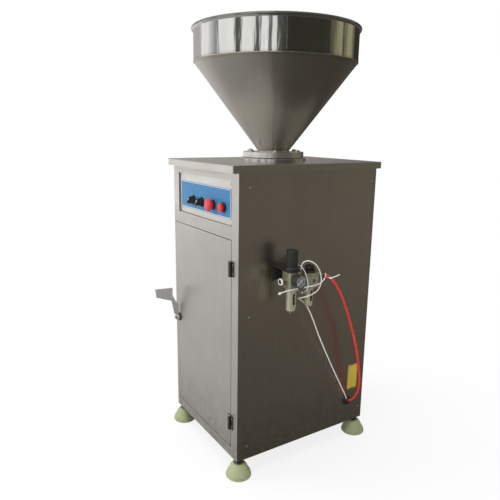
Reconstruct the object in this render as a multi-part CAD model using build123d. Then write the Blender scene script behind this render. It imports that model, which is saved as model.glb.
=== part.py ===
from build123d import *
from math import atan2, cos, pi, radians, sin, sqrt, tan
import os

# Pneumatic sausage filler, millimetres, +Z up, X to the right of the door, Y towards the back.
# The model is laid out about the cabinet's middle on the floor. At the end all of it moves by
# CABINET_X and CABINET_Y, so that the origin is the middle of the whole machine's footprint.

# Cabinet
BODY_W = 400.0
BODY_D = 490.0
FLOOR_GAP = 56.0
BODY_TOP = 910.0
SHEET = 1.5
TUBE = 30.0
TUBE_WALL = 2.0
FIT = 0.3
VENT_SLOT = (84.0, 5.0)
VENT_ROWS = 7
VENT_PITCH = 22.0
VENT_LOW = 144.0
VENT_HIGH = 270.0
DRAIN_HOLE_R = 30.0

# Screws that hold the sheets
SCREW_HEAD_R = 4.0
SCREW_HEAD_T = 2.2
SCREW_SHANK_R = 1.9
SCREW_SHANK_LEN = 6.0
SCREW_INSET = 12.0
SCREW_FRONT_SHIFT = 22.0
PANEL_SCREW_INSET = 7.0
SCREW_RISE = 40.0
SCREW_MID_DROP = 416.0
SCREW_TOP_DROP = 60.0

# Top cover
COVER_T = 2.0
COVER_SKIRT = 20.0
COVER_OVERHANG = 19.0

# Front: fascia, door and their gaps
STRIP_W = 35.0
RAIL_H = SHEET + TUBE
DOOR_TOP = 708.0
DOOR_GAP = 2.0
DOOR_SKIN = 1.2
DOOR_DEPTH = 17.0
HAT_ZS = (250.0, 540.0)
HAT_H = 40.0
HAT_DEPTH = 12.0

# Control panel
PANEL_W = 330.0
PANEL_H = 122.0
PANEL_RISE = 38.0
PANEL_RECESS = 4.5
PANEL_LEDGE = 13.0
PLATE_T = 1.5
FACE_W = 308.0
FACE_H = 82.0
FACE_DROP = 2.5
FACE_T = 0.8
SWITCH_DROP = 15.0
SELECTOR_XS = (-68.0, -15.0)
STOP_X = 53.0
START_X = 113.0
SWITCH_R = 11.0
SWITCH_WALL = 2.5
SWITCH_NECK = 18.0
CONTACT_SIZE = (30.0, 34.0, 40.0)
BEZEL_R = 14.5
BEZEL_T = 3.5
SELECTOR_R = 12.0
SELECTOR_LEN = 17.0
SELECTOR_REST = 45.0
GRIP_W = 8.0
STOP_R = 18.0
STOP_TRAVEL = 5.0
START_R = 12.5
START_TRAVEL = 3.5

# Door hinges
HINGE_ZS = (169.0, 630.0)
HINGE_H = 42.0
HINGE_LEAF = 8.0
HINGE_LEAF_T = 2.4
KNUCKLE_R = 5.0
HINGE_PIN_R = 2.5
PIN_FIT = 0.05

# Knee lever and its switch
LEVER_INSET = 24.0
LEVER_Z = 386.0
LEVER_T = 3.0
LEVER_REACH = 80.0
LEVER_ROOT = 20.0
LEVER_TOP = 104.0
LEVER_WING_H = 44.0
LEVER_BEND = 14.0
BUSH_R = 13.0
BUSH_T = 4.0
LEVER_SHAFT_R = 5.0
SWITCH_DEPTH = 20.0

# Hopper and its flanges
HOPPER_WALL = 1.5
BAND_R = 243.0
BAND_BOTTOM = 1193.0
RIM_Z = 1283.0
BEAD_R = 5.5
NECK_R = 46.0
FLANGE_R = 93.0
FLANGE_T = 17.0
GASKET_T = 1.0
GASKET_R = 64.0
BASE_RING_R = 100.0
BASE_RING_T = 8.0
BOLT_R = 4.0
BOLT_PCD = 160.0
BOLT_COUNT = 6
BOLT_START = 30.0
BOLT_AF = 13.0
BOLT_HEAD_T = 5.5
NUT_T = 6.5

# Valve
VALVE_DROP = 76.0
DOSE_DROP = 72.0
VALVE_R = 60.0
VALVE_LEN = 100.0
PORT_R = 24.0
PLUG_R = 40.0
RUN_FIT = 0.05
VALVE_TURN = 90.0
COVER_PLATE_T = 10.0
SHAFT_R = 12.0

# Rack and pinion that turns the valve
MODULE = 2.0
PINION_TEETH = 24
PRESSURE_ANGLE = 20.0
BACKLASH = 0.12
GEAR_Y = 84.0
GEAR_W = 22.0
RACK_LEFT = -24.0
RACK_RIGHT = 62.0
RACK_H = 16.0
GUIDE_T = 5.0
VALVE_CYL_GAP = 14.5
VALVE_CYL_LEN = 84.0
VALVE_CYL_SIZE = 40.0
VALVE_CYL_BORE_R = 16.0
VALVE_CYL_END = 8.0
AIR_PISTON_START = 12.0
AIR_PISTON_T = 8.0
RACK_ROD_R = 6.0

# Dosing cylinder and the air cylinder under it
PISTON_STROKE = 180.0
DOSE_BORE_R = 45.0
DOSE_WALL = 3.0
DOSE_FLANGE_R = 62.0
DOSE_FLANGE_T = 10.0
DOSE_LEN = 230.0
PISTON_T = 25.0
ROD_R = 10.0
DRIP_GAP = 40.0
AIR_BORE_R = 40.0
AIR_WALL = 4.0
AIR_LEN = 220.0
AIR_END_T = 24.0
AIR_END_SIZE = 96.0
TIE_R = 4.0
TIE_OFFSET = 38.0

# Outlet on the left
PIPE_WALL = 3.0
PIPE_OUT = 34.0
THREAD_R = 31.0
THREAD_LEN = 18.0
NOZZLE_LEN = 170.0
NOZZLE_TIP_R = 11.0
NOZZLE_TIP_LEN = 40.0
NOZZLE_WALL = 1.5
UNION_R = 40.0
UNION_LEN = 26.0

# Air service unit on the right panel
UNIT_OUT = 58.0
UNIT_Z = 603.0
UNIT_BODY = 40.0
REGULATOR_ZS = (580.0, 628.0)
LUBRICATOR_ZS = (576.0, 618.0)
REGULATOR_Y = -111.0
LUBRICATOR_Y = -49.0
BRACKET_T = 2.5
COLLAR_R = 21.0
COLLAR_H = 11.0
KNOB_R = 15.8
KNOB_H = 46.0
GAUGE_Z = 608.0
GAUGE_R = 18.5
GAUGE_DEPTH = 21.0
GAUGE_ZERO = 135.0
FILTER_GUARD_R = 14.0
FILTER_GUARD_H = 64.0
OIL_GUARD_R = 11.5
OIL_GUARD_H = 56.0
GUARD_WALL = 1.5
DOME_R = 14.5
DOME_H = 20.0
INLET_LEN = 18.0
INLET_BORE_R = 5.7
OUTLET_LEN = 24.0
PILOT_FITTING_H = 22.0

# Hose, pilot tube and the grommet where both go in
HOSE_R = 4.0
PILOT_R = 2.0
GROMMET_Y = 176.0
GROMMET_Z = 135.0
GROMMET_R = 15.0
GROMMET_HOLE_R = 11.5
CORD_FIT = 0.05

# Valve block and control box inside
MANIFOLD_GAP = 22.5
MANIFOLD_LEN = 110.0
MANIFOLD_W = 24.0
MANIFOLD_H = 28.0
SOLENOID_COUNT = 3
SOLENOID_PITCH = 34.0
SOLENOID_W = 26.0
SOLENOID_BODY_H = 60.0
SOLENOID_COIL_H = 30.0
CONTROL_BOX = (70.0, 140.0, 190.0)
CONTROL_BOX_Y = -110.0
CONTROL_BOX_DROP = 430.0
LID_T = 5.0

# Feet
FOOT_R = 37.0
FOOT_H = 42.0
STEM_R = 6.0
FOOT_TRAVEL = 15.0

# Worked out from the values above
HALF_W = BODY_W / 2
HALF_D = BODY_D / 2
BODY_BOTTOM = FLOOR_GAP
UNDER_COVER = BODY_TOP - COVER_T
INNER_W = HALF_W - SHEET
INNER_D = HALF_D - SHEET
FRONT = -HALF_D
RAIL_TOP = BODY_BOTTOM + RAIL_H
DOOR_BOTTOM = RAIL_TOP + DOOR_GAP
STRIP_X = HALF_W - STRIP_W
DOOR_RIGHT = STRIP_X - DOOR_GAP
POST_FRONT = FRONT + DOOR_DEPTH + DOOR_GAP + 2 * SHEET
VALVE_Z = BODY_TOP - VALVE_DROP
BASE_TOP = BODY_TOP + BASE_RING_T
FLANGE_BOTTOM = BASE_TOP + GASKET_T
FLANGE_TOP = FLANGE_BOTTOM + FLANGE_T
DOSE_TOP = VALVE_Z - DOSE_DROP
DOSE_TUBE_TOP = DOSE_TOP - DOSE_FLANGE_T
DOSE_BOTTOM = DOSE_TUBE_TOP - DOSE_LEN
AIR_TOP = DOSE_BOTTOM - DRIP_GAP
AIR_HEAD_BOTTOM = AIR_TOP - AIR_END_T
AIR_CAP_TOP = AIR_HEAD_BOTTOM - AIR_LEN
AIR_BOTTOM = AIR_CAP_TOP - AIR_END_T
UNIT_X = HALF_W + UNIT_OUT
PANEL_BACK = FRONT + PANEL_RECESS
PANEL_Z = DOOR_TOP + PANEL_RISE + PANEL_H / 2
FACE_Z = PANEL_Z - FACE_DROP
SWITCH_Z = PANEL_Z - SWITCH_DROP
LEVER_X = -HALF_W + LEVER_INSET
VALVE_CYL_X = INNER_W - VALVE_CYL_GAP - VALVE_CYL_LEN
MANIFOLD_X = INNER_W - MANIFOLD_GAP
PITCH_R = MODULE * PINION_TEETH / 2
RACK_TRAVEL = PITCH_R * radians(VALVE_TURN)
HINGE_X = DOOR_RIGHT + DOOR_GAP / 2
HINGE_Y = FRONT - KNUCKLE_R - FIT
FOOT_X = INNER_W - TUBE / 2
FOOT_Y = INNER_D - TUBE / 2
PIPE_END = -HALF_W - PIPE_OUT
NOZZLE_TIP = PIPE_END - 4.0 - NOZZLE_LEN
LEFT_REACH = -NOZZLE_TIP
RIGHT_REACH = UNIT_X + UNIT_BODY / 2 + 3.0 + GAUGE_DEPTH
FRONT_REACH = HALF_D + LEVER_REACH
BACK_REACH = HALF_D + COVER_OVERHANG
CABINET_X = (LEFT_REACH - RIGHT_REACH) / 2
CABINET_Y = (FRONT_REACH - BACK_REACH) / 2


# Small helpers
def block(x0, x1, y0, y1, z0, z1):
    size = Box(x1 - x0, y1 - y0, z1 - z0)
    return Pos((x0 + x1) / 2, (y0 + y1) / 2, (z0 + z1) / 2) * size


def rod_z(x, y, z0, z1, r):
    return Pos(x, y, (z0 + z1) / 2) * Cylinder(r, z1 - z0)


def rod_x(x0, x1, y, z, r):
    return Pos((x0 + x1) / 2, y, z) * Rot(0, 90, 0) * Cylinder(r, x1 - x0)


def rod_y(x, y0, y1, z, r):
    return Pos(x, (y0 + y1) / 2, z) * Rot(90, 0, 0) * Cylinder(r, y1 - y0)


def ring_z(x, y, z0, z1, outer, inner):
    return rod_z(x, y, z0, z1, outer) - rod_z(x, y, z0 - 1, z1 + 1, inner)


def ring_x(x0, x1, y, z, outer, inner):
    return rod_x(x0, x1, y, z, outer) - rod_x(x0 - 1, x1 + 1, y, z, inner)


def ring_y(x, y0, y1, z, outer, inner):
    return rod_y(x, y0, y1, z, outer) - rod_y(x, y0 - 1, y1 + 1, z, inner)


def hex_z(x, y, z0, z1, flats):
    prism = extrude(RegularPolygon(flats / 2, 6, major_radius=False), z1 - z0)
    return Pos(x, y, z0) * prism


def turned(points):
    """A solid turned about Z from (radius, height) points."""
    face = make_face(Plane.XZ * Polyline(*points, close=True))
    return revolve(face, Axis.Z)


def around(part, count, start=0.0):
    """Copies of a part set evenly about Z."""
    return [Rot(0, 0, start + 360.0 * i / count) * part for i in range(count)]


def corners(x, y):
    return [(sx * x, sy * y) for sx in (-1, 1) for sy in (-1, 1)]


PARTS = {}


def keep(name, *solids):
    """Set one named node from one or more separate solids."""
    flat = []
    for piece in solids:
        found = piece.solids() if hasattr(piece, "solids") else [piece]
        flat.extend(found)
    PARTS[name] = flat


# Frame of square tube
def square_tube(x0, x1, y0, y1, z0, z1, along):
    outer = block(x0, x1, y0, y1, z0, z1)
    grow = {"x": (0, 1, 1), "y": (1, 0, 1), "z": (1, 1, 0)}[along]
    w = TUBE_WALL
    inner = block(
        x0 + w if grow[0] else x0 - 1,
        x1 - w if grow[0] else x1 + 1,
        y0 + w if grow[1] else y0 - 1,
        y1 - w if grow[1] else y1 + 1,
        z0 + w if grow[2] else z0 - 1,
        z1 - w if grow[2] else z1 + 1,
    )
    return outer - inner


def make_frame():
    base = BODY_BOTTOM + SHEET
    rail = base + TUBE
    frame = None
    for side in (-1, 1):
        x0, x1 = sorted((side * INNER_W, side * (INNER_W - TUBE)))
        long_rail = block(x0, x1, -INNER_D, INNER_D, base, rail)
        hollow = block(x0 + TUBE_WALL, x1 - TUBE_WALL, -INNER_D + TUBE_WALL,
                       INNER_D - TUBE_WALL, base + TUBE_WALL, rail - TUBE_WALL)
        top_rail = square_tube(x0, x1, POST_FRONT + TUBE, INNER_D - TUBE,
                               UNDER_COVER - TUBE, UNDER_COVER, "y")
        front_post = square_tube(x0, x1, POST_FRONT, POST_FRONT + TUBE, rail, UNDER_COVER, "z")
        back_post = square_tube(x0, x1, INNER_D - TUBE, INNER_D, rail, UNDER_COVER, "z")
        piece = (long_rail - hollow) + top_rail + front_post + back_post
        frame = piece if frame is None else frame + piece
    inside = INNER_W - TUBE
    for y0, z0 in (
        (-INNER_D, base),
        (INNER_D - TUBE, base),
        (INNER_D - TUBE, UNDER_COVER - TUBE),
        (POST_FRONT, UNDER_COVER - TUBE),
        (POST_FRONT, DOOR_TOP + DOOR_GAP),
    ):
        frame += square_tube(-inside, inside, y0, y0 + TUBE, z0, z0 + TUBE, "x")
    for x, y in corners(FOOT_X, FOOT_Y):
        frame -= rod_z(x, y, base - 1, base + TUBE_WALL + 1, STEM_R + FIT)
    keep("cabinet_frame", frame)


# Sheets
def make_panels():
    z0, z1 = BODY_BOTTOM, UNDER_COVER
    left = block(-HALF_W, -INNER_W, -INNER_D, INNER_D, z0, z1)
    left -= rod_x(-HALF_W - 1, -INNER_W + 1, 0, VALVE_Z, PORT_R + PIPE_WALL + 4.0)
    keep("left_side_panel", left)
    right = block(INNER_W, HALF_W, -INNER_D, INNER_D, z0, z1)
    right -= rod_x(INNER_W - 1, HALF_W + 1, GROMMET_Y, GROMMET_Z, GROMMET_HOLE_R + FIT)
    keep("right_side_panel", right)
    rear = block(-HALF_W, HALF_W, INNER_D, HALF_D, z0, z1)
    slot = extrude(Plane.XZ * SlotOverall(*VENT_SLOT), 3 * SHEET, both=True)
    for column in (-0.2 * BODY_W, 0.2 * BODY_W):
        for row in range(VENT_ROWS):
            rear -= Pos(column, HALF_D, BODY_BOTTOM + VENT_LOW + VENT_PITCH * row) * slot
            rear -= Pos(column, HALF_D, BODY_TOP - VENT_HIGH + VENT_PITCH * row) * slot
    keep("rear_cover", rear)
    base = block(-INNER_W, INNER_W, -INNER_D, INNER_D, z0, z0 + SHEET)
    for x, y in corners(FOOT_X, FOOT_Y):
        base -= rod_z(x, y, z0 - 1, z0 + SHEET + 1, STEM_R + FIT)
    base -= rod_z(0, 0, z0 - 1, z0 + SHEET + 1, DRAIN_HOLE_R)
    keep("base_plate", base)


def make_top_cover():
    x, y = HALF_W + SHEET, HALF_D + COVER_OVERHANG
    outer = block(-x, x, -y, y, BODY_TOP - COVER_SKIRT, BODY_TOP)
    outer = fillet(outer.edges().filter_by(Axis.Z), COVER_T + 1.0)
    outer = fillet(outer.edges().group_by(Axis.Z)[-1], COVER_T)
    inner = block(-HALF_W, HALF_W, -y + SHEET, y - SHEET, BODY_TOP - COVER_SKIRT - 1, UNDER_COVER)
    cover = outer - inner
    cover -= rod_z(0, 0, UNDER_COVER - 1, BODY_TOP + 1, PLUG_R + 8.0)
    for hole in bolt_holes(UNDER_COVER - 1, BODY_TOP + 1):
        cover -= hole
    keep("top_cover", cover)


def bolt_holes(z0, z1):
    return around(rod_z(BOLT_PCD / 2, 0, z0, z1, BOLT_R + FIT), BOLT_COUNT, start=BOLT_START)


# Front fascia with its folded returns, and the control panel in its recess
def make_fascia():
    y0, y1 = FRONT, FRONT + SHEET
    back = POST_FRONT
    sheet = block(-HALF_W, HALF_W, y0, y1, BODY_BOTTOM, UNDER_COVER)
    opening_top = DOOR_TOP + DOOR_GAP
    sheet -= block(-HALF_W - 1, STRIP_X, y0 - 1, y1 + 1, RAIL_TOP, opening_top)
    sheet += block(STRIP_X, STRIP_X + SHEET, y1, back, RAIL_TOP, opening_top)
    sheet += block(-INNER_W, STRIP_X + SHEET, y1, back, opening_top, opening_top + SHEET)
    x, z0, z1 = PANEL_W / 2, PANEL_Z - PANEL_H / 2, PANEL_Z + PANEL_H / 2
    rim = PANEL_BACK + PLATE_T + SHEET
    sheet += block(-x - SHEET, x + SHEET, y1, rim, z0 - SHEET, z1 + SHEET)
    sheet -= block(-x, x, y0 - 1, rim - SHEET, z0, z1)
    ledge = PANEL_LEDGE
    sheet -= block(-x + ledge, x - ledge, y0, rim + 1, z0 + ledge, z1 - ledge)
    keep("front_fascia", sheet)


def switch_xs():
    return (*SELECTOR_XS, STOP_X, START_X)


def make_control_panel():
    x, z0, z1 = PANEL_W / 2 - 1, PANEL_Z - PANEL_H / 2 + 1, PANEL_Z + PANEL_H / 2 - 1
    plate = block(-x, x, PANEL_BACK, PANEL_BACK + PLATE_T, z0, z1)
    face = block(-FACE_W / 2, FACE_W / 2, PANEL_BACK - FACE_T, PANEL_BACK,
                 FACE_Z - FACE_H / 2, FACE_Z + FACE_H / 2)
    face = fillet(face.edges().filter_by(Axis.Y), 3.0)
    bodies = []
    for sx in switch_xs():
        hole = rod_y(sx, PANEL_BACK - 5, PANEL_BACK + 5, SWITCH_Z, SWITCH_R + FIT)
        plate -= hole
        face -= hole
        front = PANEL_BACK - FACE_T
        back = PANEL_BACK + SWITCH_NECK
        bore = SWITCH_R - SWITCH_WALL
        bezel = ring_y(sx, front - BEZEL_T, front, SWITCH_Z, BEZEL_R, bore)
        bezel += ring_y(sx, front, back, SWITCH_Z, SWITCH_R, bore)
        w, d, h = CONTACT_SIZE
        contact = block(sx - w / 2, sx + w / 2, back, back + d, SWITCH_Z - h / 2, SWITCH_Z + h / 2)
        bodies.append(fillet(bezel.edges().group_by(Axis.Y)[0], 1.0) + contact)
    keep("control_plate", plate)
    keep("face_plate", face)
    keep("switch_bodies", *bodies)


def make_screws():
    """Pan-head screws of the control plate, the fascia and the sheets."""
    found = []
    under, head_r = SCREW_SHANK_LEN, SCREW_HEAD_R
    screw = turned([
        (0, 0), (SCREW_SHANK_R, 0), (SCREW_SHANK_R, under), (head_r, under), (head_r, under + 1.0),
        (head_r - 1.4, under + SCREW_HEAD_T), (0, under + SCREW_HEAD_T),
    ])
    screw = Pos(0, 0, -under) * screw
    inset = PANEL_SCREW_INSET
    for x in (-1, 1):
        for z in (-1, 1):
            place = Pos(x * (PANEL_W / 2 - inset), PANEL_BACK, PANEL_Z + z * (PANEL_H / 2 - inset))
            found.append(place * Rot(90, 0, 0) * screw)
    heights = (BODY_BOTTOM + SCREW_RISE, BODY_TOP - SCREW_MID_DROP, BODY_TOP - SCREW_TOP_DROP)
    rows = (SCREW_INSET + SCREW_FRONT_SHIFT - INNER_D, INNER_D - SCREW_INSET)
    for z in heights:
        for side in (-1, 1):
            for y in rows:
                found.append(Pos(side * HALF_W, y, z) * Rot(0, side * 90, 0) * screw)
            found.append(Pos(side * (INNER_W - SCREW_INSET), HALF_D, z) * Rot(-90, 0, 0) * screw)
    keep("sheet_screws", *found)
    cut_for_screws(found)


def cut_for_screws(screws):
    """Each sheet, ledge and tube gets the hole of every screw that goes through it."""
    for name in ("control_plate", "front_fascia", "left_side_panel", "right_side_panel",
                 "rear_cover", "cabinet_frame"):
        carrier = Compound(PARTS[name]) if len(PARTS[name]) > 1 else PARTS[name][0]
        for screw in screws:
            if carrier.bounding_box().overlaps(screw.bounding_box(), 0):
                carrier = carrier - screw
        PARTS[name] = list(carrier.solids())


# Door with folded edges and a stiffener, its hinges, and the knee lever with its switch
def make_door():
    y0 = FRONT
    skin = block(-HALF_W, DOOR_RIGHT, y0, y0 + DOOR_SKIN, DOOR_BOTTOM, DOOR_TOP)
    left = -INNER_W + DOOR_GAP
    wall = block(left, DOOR_RIGHT, y0 + DOOR_SKIN, y0 + DOOR_DEPTH, DOOR_BOTTOM, DOOR_TOP)
    wall -= block(left + DOOR_SKIN, DOOR_RIGHT - DOOR_SKIN, y0, y0 + DOOR_DEPTH + 1,
                  DOOR_BOTTOM + DOOR_SKIN, DOOR_TOP - DOOR_SKIN)
    door = skin + wall
    for z in HAT_ZS:
        low, high = z - HAT_H / 2, z + HAT_H / 2
        hat = block(left + DOOR_SKIN, DOOR_RIGHT - DOOR_SKIN, y0 + DOOR_SKIN, y0 + HAT_DEPTH, low, high)
        hat -= block(left, DOOR_RIGHT, y0 + DOOR_SKIN - 1, y0 + HAT_DEPTH - DOOR_SKIN,
                     low + DOOR_SKIN, high - DOOR_SKIN)
        door += hat
    door -= rod_y(LEVER_X, y0 - 1, y0 + 3, LEVER_Z, BUSH_R - 4.0 + FIT)
    keep("door_panel", door)


def make_hinges():
    fixed, moving = [], []
    third = HINGE_H / 3
    for z in HINGE_ZS:
        z0 = z - HINGE_H / 2
        leaf_y0, leaf_y1 = FRONT - HINGE_LEAF_T, FRONT
        edge = KNUCKLE_R + FIT
        right = block(HINGE_X + edge, HINGE_X + edge + HINGE_LEAF, leaf_y0, leaf_y1, z0, z0 + HINGE_H)
        for k in (0, 2):
            low, high = z0 + k * third, z0 + (k + 1) * third
            knuckle = ring_z(HINGE_X, HINGE_Y, low, high, KNUCKLE_R, HINGE_PIN_R)
            web = block(HINGE_X, HINGE_X + edge, leaf_y0, leaf_y1 - FIT, low, high)
            right += knuckle + (web - rod_z(HINGE_X, HINGE_Y, low - 1, high + 1, HINGE_PIN_R))
        right += rod_z(HINGE_X, HINGE_Y, z0, z0 + HINGE_H, HINGE_PIN_R)
        fixed.append(right)
        low, high = z0 + third + FIT, z0 + 2 * third - FIT
        left = block(HINGE_X - edge - HINGE_LEAF, HINGE_X - edge, leaf_y0, leaf_y1, z0, z0 + HINGE_H)
        left += rod_z(HINGE_X, HINGE_Y, low, high, KNUCKLE_R)
        left += block(HINGE_X - edge, HINGE_X, leaf_y0, leaf_y1 - FIT, low, high)
        left -= rod_z(HINGE_X, HINGE_Y, low - 1, high + 1, HINGE_PIN_R + PIN_FIT)
        moving.append(left)
    keep("hinge_pin_leaves", *fixed)
    keep("door_hinge_leaves", *moving)


def make_knee_lever():
    x, z = LEVER_X, LEVER_Z
    neck_r = BUSH_R - 4.0
    ring_front = FRONT - BUSH_T
    bush = rod_y(x, ring_front, FRONT, z, BUSH_R)
    bush = fillet(bush.edges().group_by(Axis.Y)[0], 1.5)
    bush += rod_y(x, FRONT, FRONT + DOOR_SKIN, z, neck_r)
    body = block(x - 14, x + 14, FRONT + DOOR_SKIN, FRONT + SWITCH_DEPTH, z - 24, z + 24)
    switch = bush + fillet(body.edges().filter_by(Axis.Y), 3.0)
    switch -= rod_y(x, ring_front - 1, FRONT + SWITCH_DEPTH - 1.5, z, LEVER_SHAFT_R + PIN_FIT)
    keep("knee_switch", switch)
    start = ring_front - 0.5
    shaft = rod_y(x, start - 9.0, FRONT + SWITCH_DEPTH - 2.0, z, LEVER_SHAFT_R)
    boss = rod_y(x, start - 9.0, start, z, LEVER_SHAFT_R + 4.0)
    foot_y = start
    bend_y = FRONT - LEVER_ROOT - 6.0
    tip_y = FRONT - LEVER_REACH + LEVER_T / 2 * sin(radians(LEVER_BEND))
    outline = [
        (foot_y, z - 4.0),
        (foot_y, z + 0.40 * LEVER_TOP),
        (bend_y + 3.0, z + 0.70 * LEVER_TOP),
        (bend_y, z + 0.70 * LEVER_TOP + 4.0),
        (bend_y, z + LEVER_TOP),
        (bend_y - 3.0, z + LEVER_TOP - LEVER_WING_H - 1.0),
        (bend_y + 6.0, z + 0.14 * LEVER_TOP),
    ]
    foot = extrude(make_face(Plane.YZ * Polyline(*outline, close=True)), LEVER_T / 2, both=True)
    wing_len = (bend_y - tip_y) / cos(radians(LEVER_BEND))
    wing = [
        (0, z + LEVER_TOP),
        (-wing_len, z + LEVER_TOP - 1.0),
        (-wing_len + 3.0, z + LEVER_TOP - LEVER_WING_H + 15.0),
        (-3.0, z + LEVER_TOP - LEVER_WING_H),
        (0, z + LEVER_TOP - LEVER_WING_H + 2.0),
    ]
    flat = extrude(make_face(Plane.YZ * Polyline(*wing, close=True)), LEVER_T / 2, both=True)
    flat = Pos(x, bend_y, 0) * Rot(0, 0, -LEVER_BEND) * flat
    lever = Pos(x, 0, 0) * foot + flat + rod_z(x, bend_y, z + LEVER_TOP - LEVER_WING_H + 2,
                                              z + LEVER_TOP, LEVER_T / 2)
    lever += shaft + boss
    keep("knee_lever", lever)


def make_door_catch():
    x0 = -INNER_W + TUBE
    y0 = FRONT + HAT_DEPTH + FIT
    z = HAT_ZS[1]
    half = HAT_H / 2 - 2.0
    catch = block(x0 - 8.0, x0 + 4.0, y0, POST_FRONT, z - half, z + half)
    catch += block(x0, x0 + 4.0, POST_FRONT, POST_FRONT + 20.0, z - half, z + half)
    keep("door_catch", catch)


# Control knobs and buttons
def make_knobs():
    front = PANEL_BACK - FACE_T - BEZEL_T
    bore = SWITCH_R - SWITCH_WALL - RUN_FIT
    for name, sx in zip(("selector_knob_left", "selector_knob_right"), SELECTOR_XS):
        skirt = rod_y(sx, front - FIT - 6.0, front - FIT, SWITCH_Z, SELECTOR_R)
        skirt = chamfer(skirt.edges().group_by(Axis.Y)[0], 1.5)
        reach = SELECTOR_R - 0.5
        grip = block(-GRIP_W / 2, GRIP_W / 2, front - SELECTOR_LEN, front - 5.0, -reach, reach)
        grip = fillet(grip.edges().group_by(Axis.Y)[0], 1.6)
        grip = Pos(sx, 0, SWITCH_Z) * Rot(0, SELECTOR_REST, 0) * grip
        stem = rod_y(sx, front - 1.0, PANEL_BACK + 16.0, SWITCH_Z, bore)
        keep(name, skirt + grip + stem)
    head_gap = STOP_TRAVEL + FIT
    cap = turned([(0, 0), (12.5, 0), (STOP_R, 3.5), (STOP_R, 8.0), (STOP_R - 2.5, 11.2),
                  (STOP_R - 8.0, 13.0), (0, 13.6)])
    cap = Pos(STOP_X, front - head_gap, SWITCH_Z) * Rot(90, 0, 0) * cap
    stem = rod_y(STOP_X, front - head_gap - 2.0, PANEL_BACK + 10.0, SWITCH_Z, bore)
    keep("stop_button", cap + stem)
    head = turned([(0, 0), (START_R, 0), (START_R, 5.0), (START_R - 1.2, 6.2), (0, 6.6)])
    head = Pos(START_X, front - START_TRAVEL - FIT, SWITCH_Z) * Rot(90, 0, 0) * head
    stem = rod_y(START_X, front - START_TRAVEL - 2.0, PANEL_BACK + 10.0, SWITCH_Z, bore)
    keep("start_button", head + stem)


# Hopper: band, cone, rolled rim, flange, gasket, ring and bolts
def make_hopper():
    t = HOPPER_WALL
    slope = atan2(BAND_R - NECK_R, BAND_BOTTOM - FLANGE_TOP)
    level = t / cos(slope)
    shell = turned([
        (NECK_R, FLANGE_TOP), (BAND_R, BAND_BOTTOM), (BAND_R, RIM_Z), (BAND_R - t, RIM_Z),
        (BAND_R - t, BAND_BOTTOM + t * tan(slope / 2)), (NECK_R - level, FLANGE_TOP),
    ])
    bead = Pos(0, 0, RIM_Z) * Torus(BAND_R + 0.5, BEAD_R)
    hole = NECK_R - level
    flange = ring_z(0, 0, FLANGE_BOTTOM, FLANGE_TOP, FLANGE_R, hole)
    flange = fillet(flange.edges().filter_by(GeomType.CIRCLE).sort_by(SortBy.RADIUS)[-2:], 1.5)
    gasket = ring_z(0, 0, BASE_TOP, FLANGE_BOTTOM, GASKET_R, hole)
    ring = rod_z(0, 0, BODY_TOP, BASE_TOP, BASE_RING_R)
    ring = fillet(ring.edges().group_by(Axis.Z)[-1], 1.2)
    ring -= turned([(0, BODY_TOP - 1), (PORT_R, BODY_TOP - 1), (PORT_R, BODY_TOP),
                    (hole, BASE_TOP), (hole, BASE_TOP + 1), (0, BASE_TOP + 1)])
    for hole_cut in bolt_holes(BODY_TOP - 1, FLANGE_TOP + 1):
        flange -= hole_cut
        ring -= hole_cut
    keep("hopper", shell + bead + flange)
    keep("throat_gasket", gasket)
    keep("base_ring", ring)
    low = UNDER_COVER - COVER_PLATE_T
    bolt = rod_z(BOLT_PCD / 2, 0, low - NUT_T - 3.0, FLANGE_TOP, BOLT_R)
    bolt += hex_z(BOLT_PCD / 2, 0, FLANGE_TOP, FLANGE_TOP + BOLT_HEAD_T, BOLT_AF)
    bolt += hex_z(BOLT_PCD / 2, 0, low - NUT_T, low, BOLT_AF)
    keep("flange_bolts", *around(bolt, BOLT_COUNT, start=BOLT_START))


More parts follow.
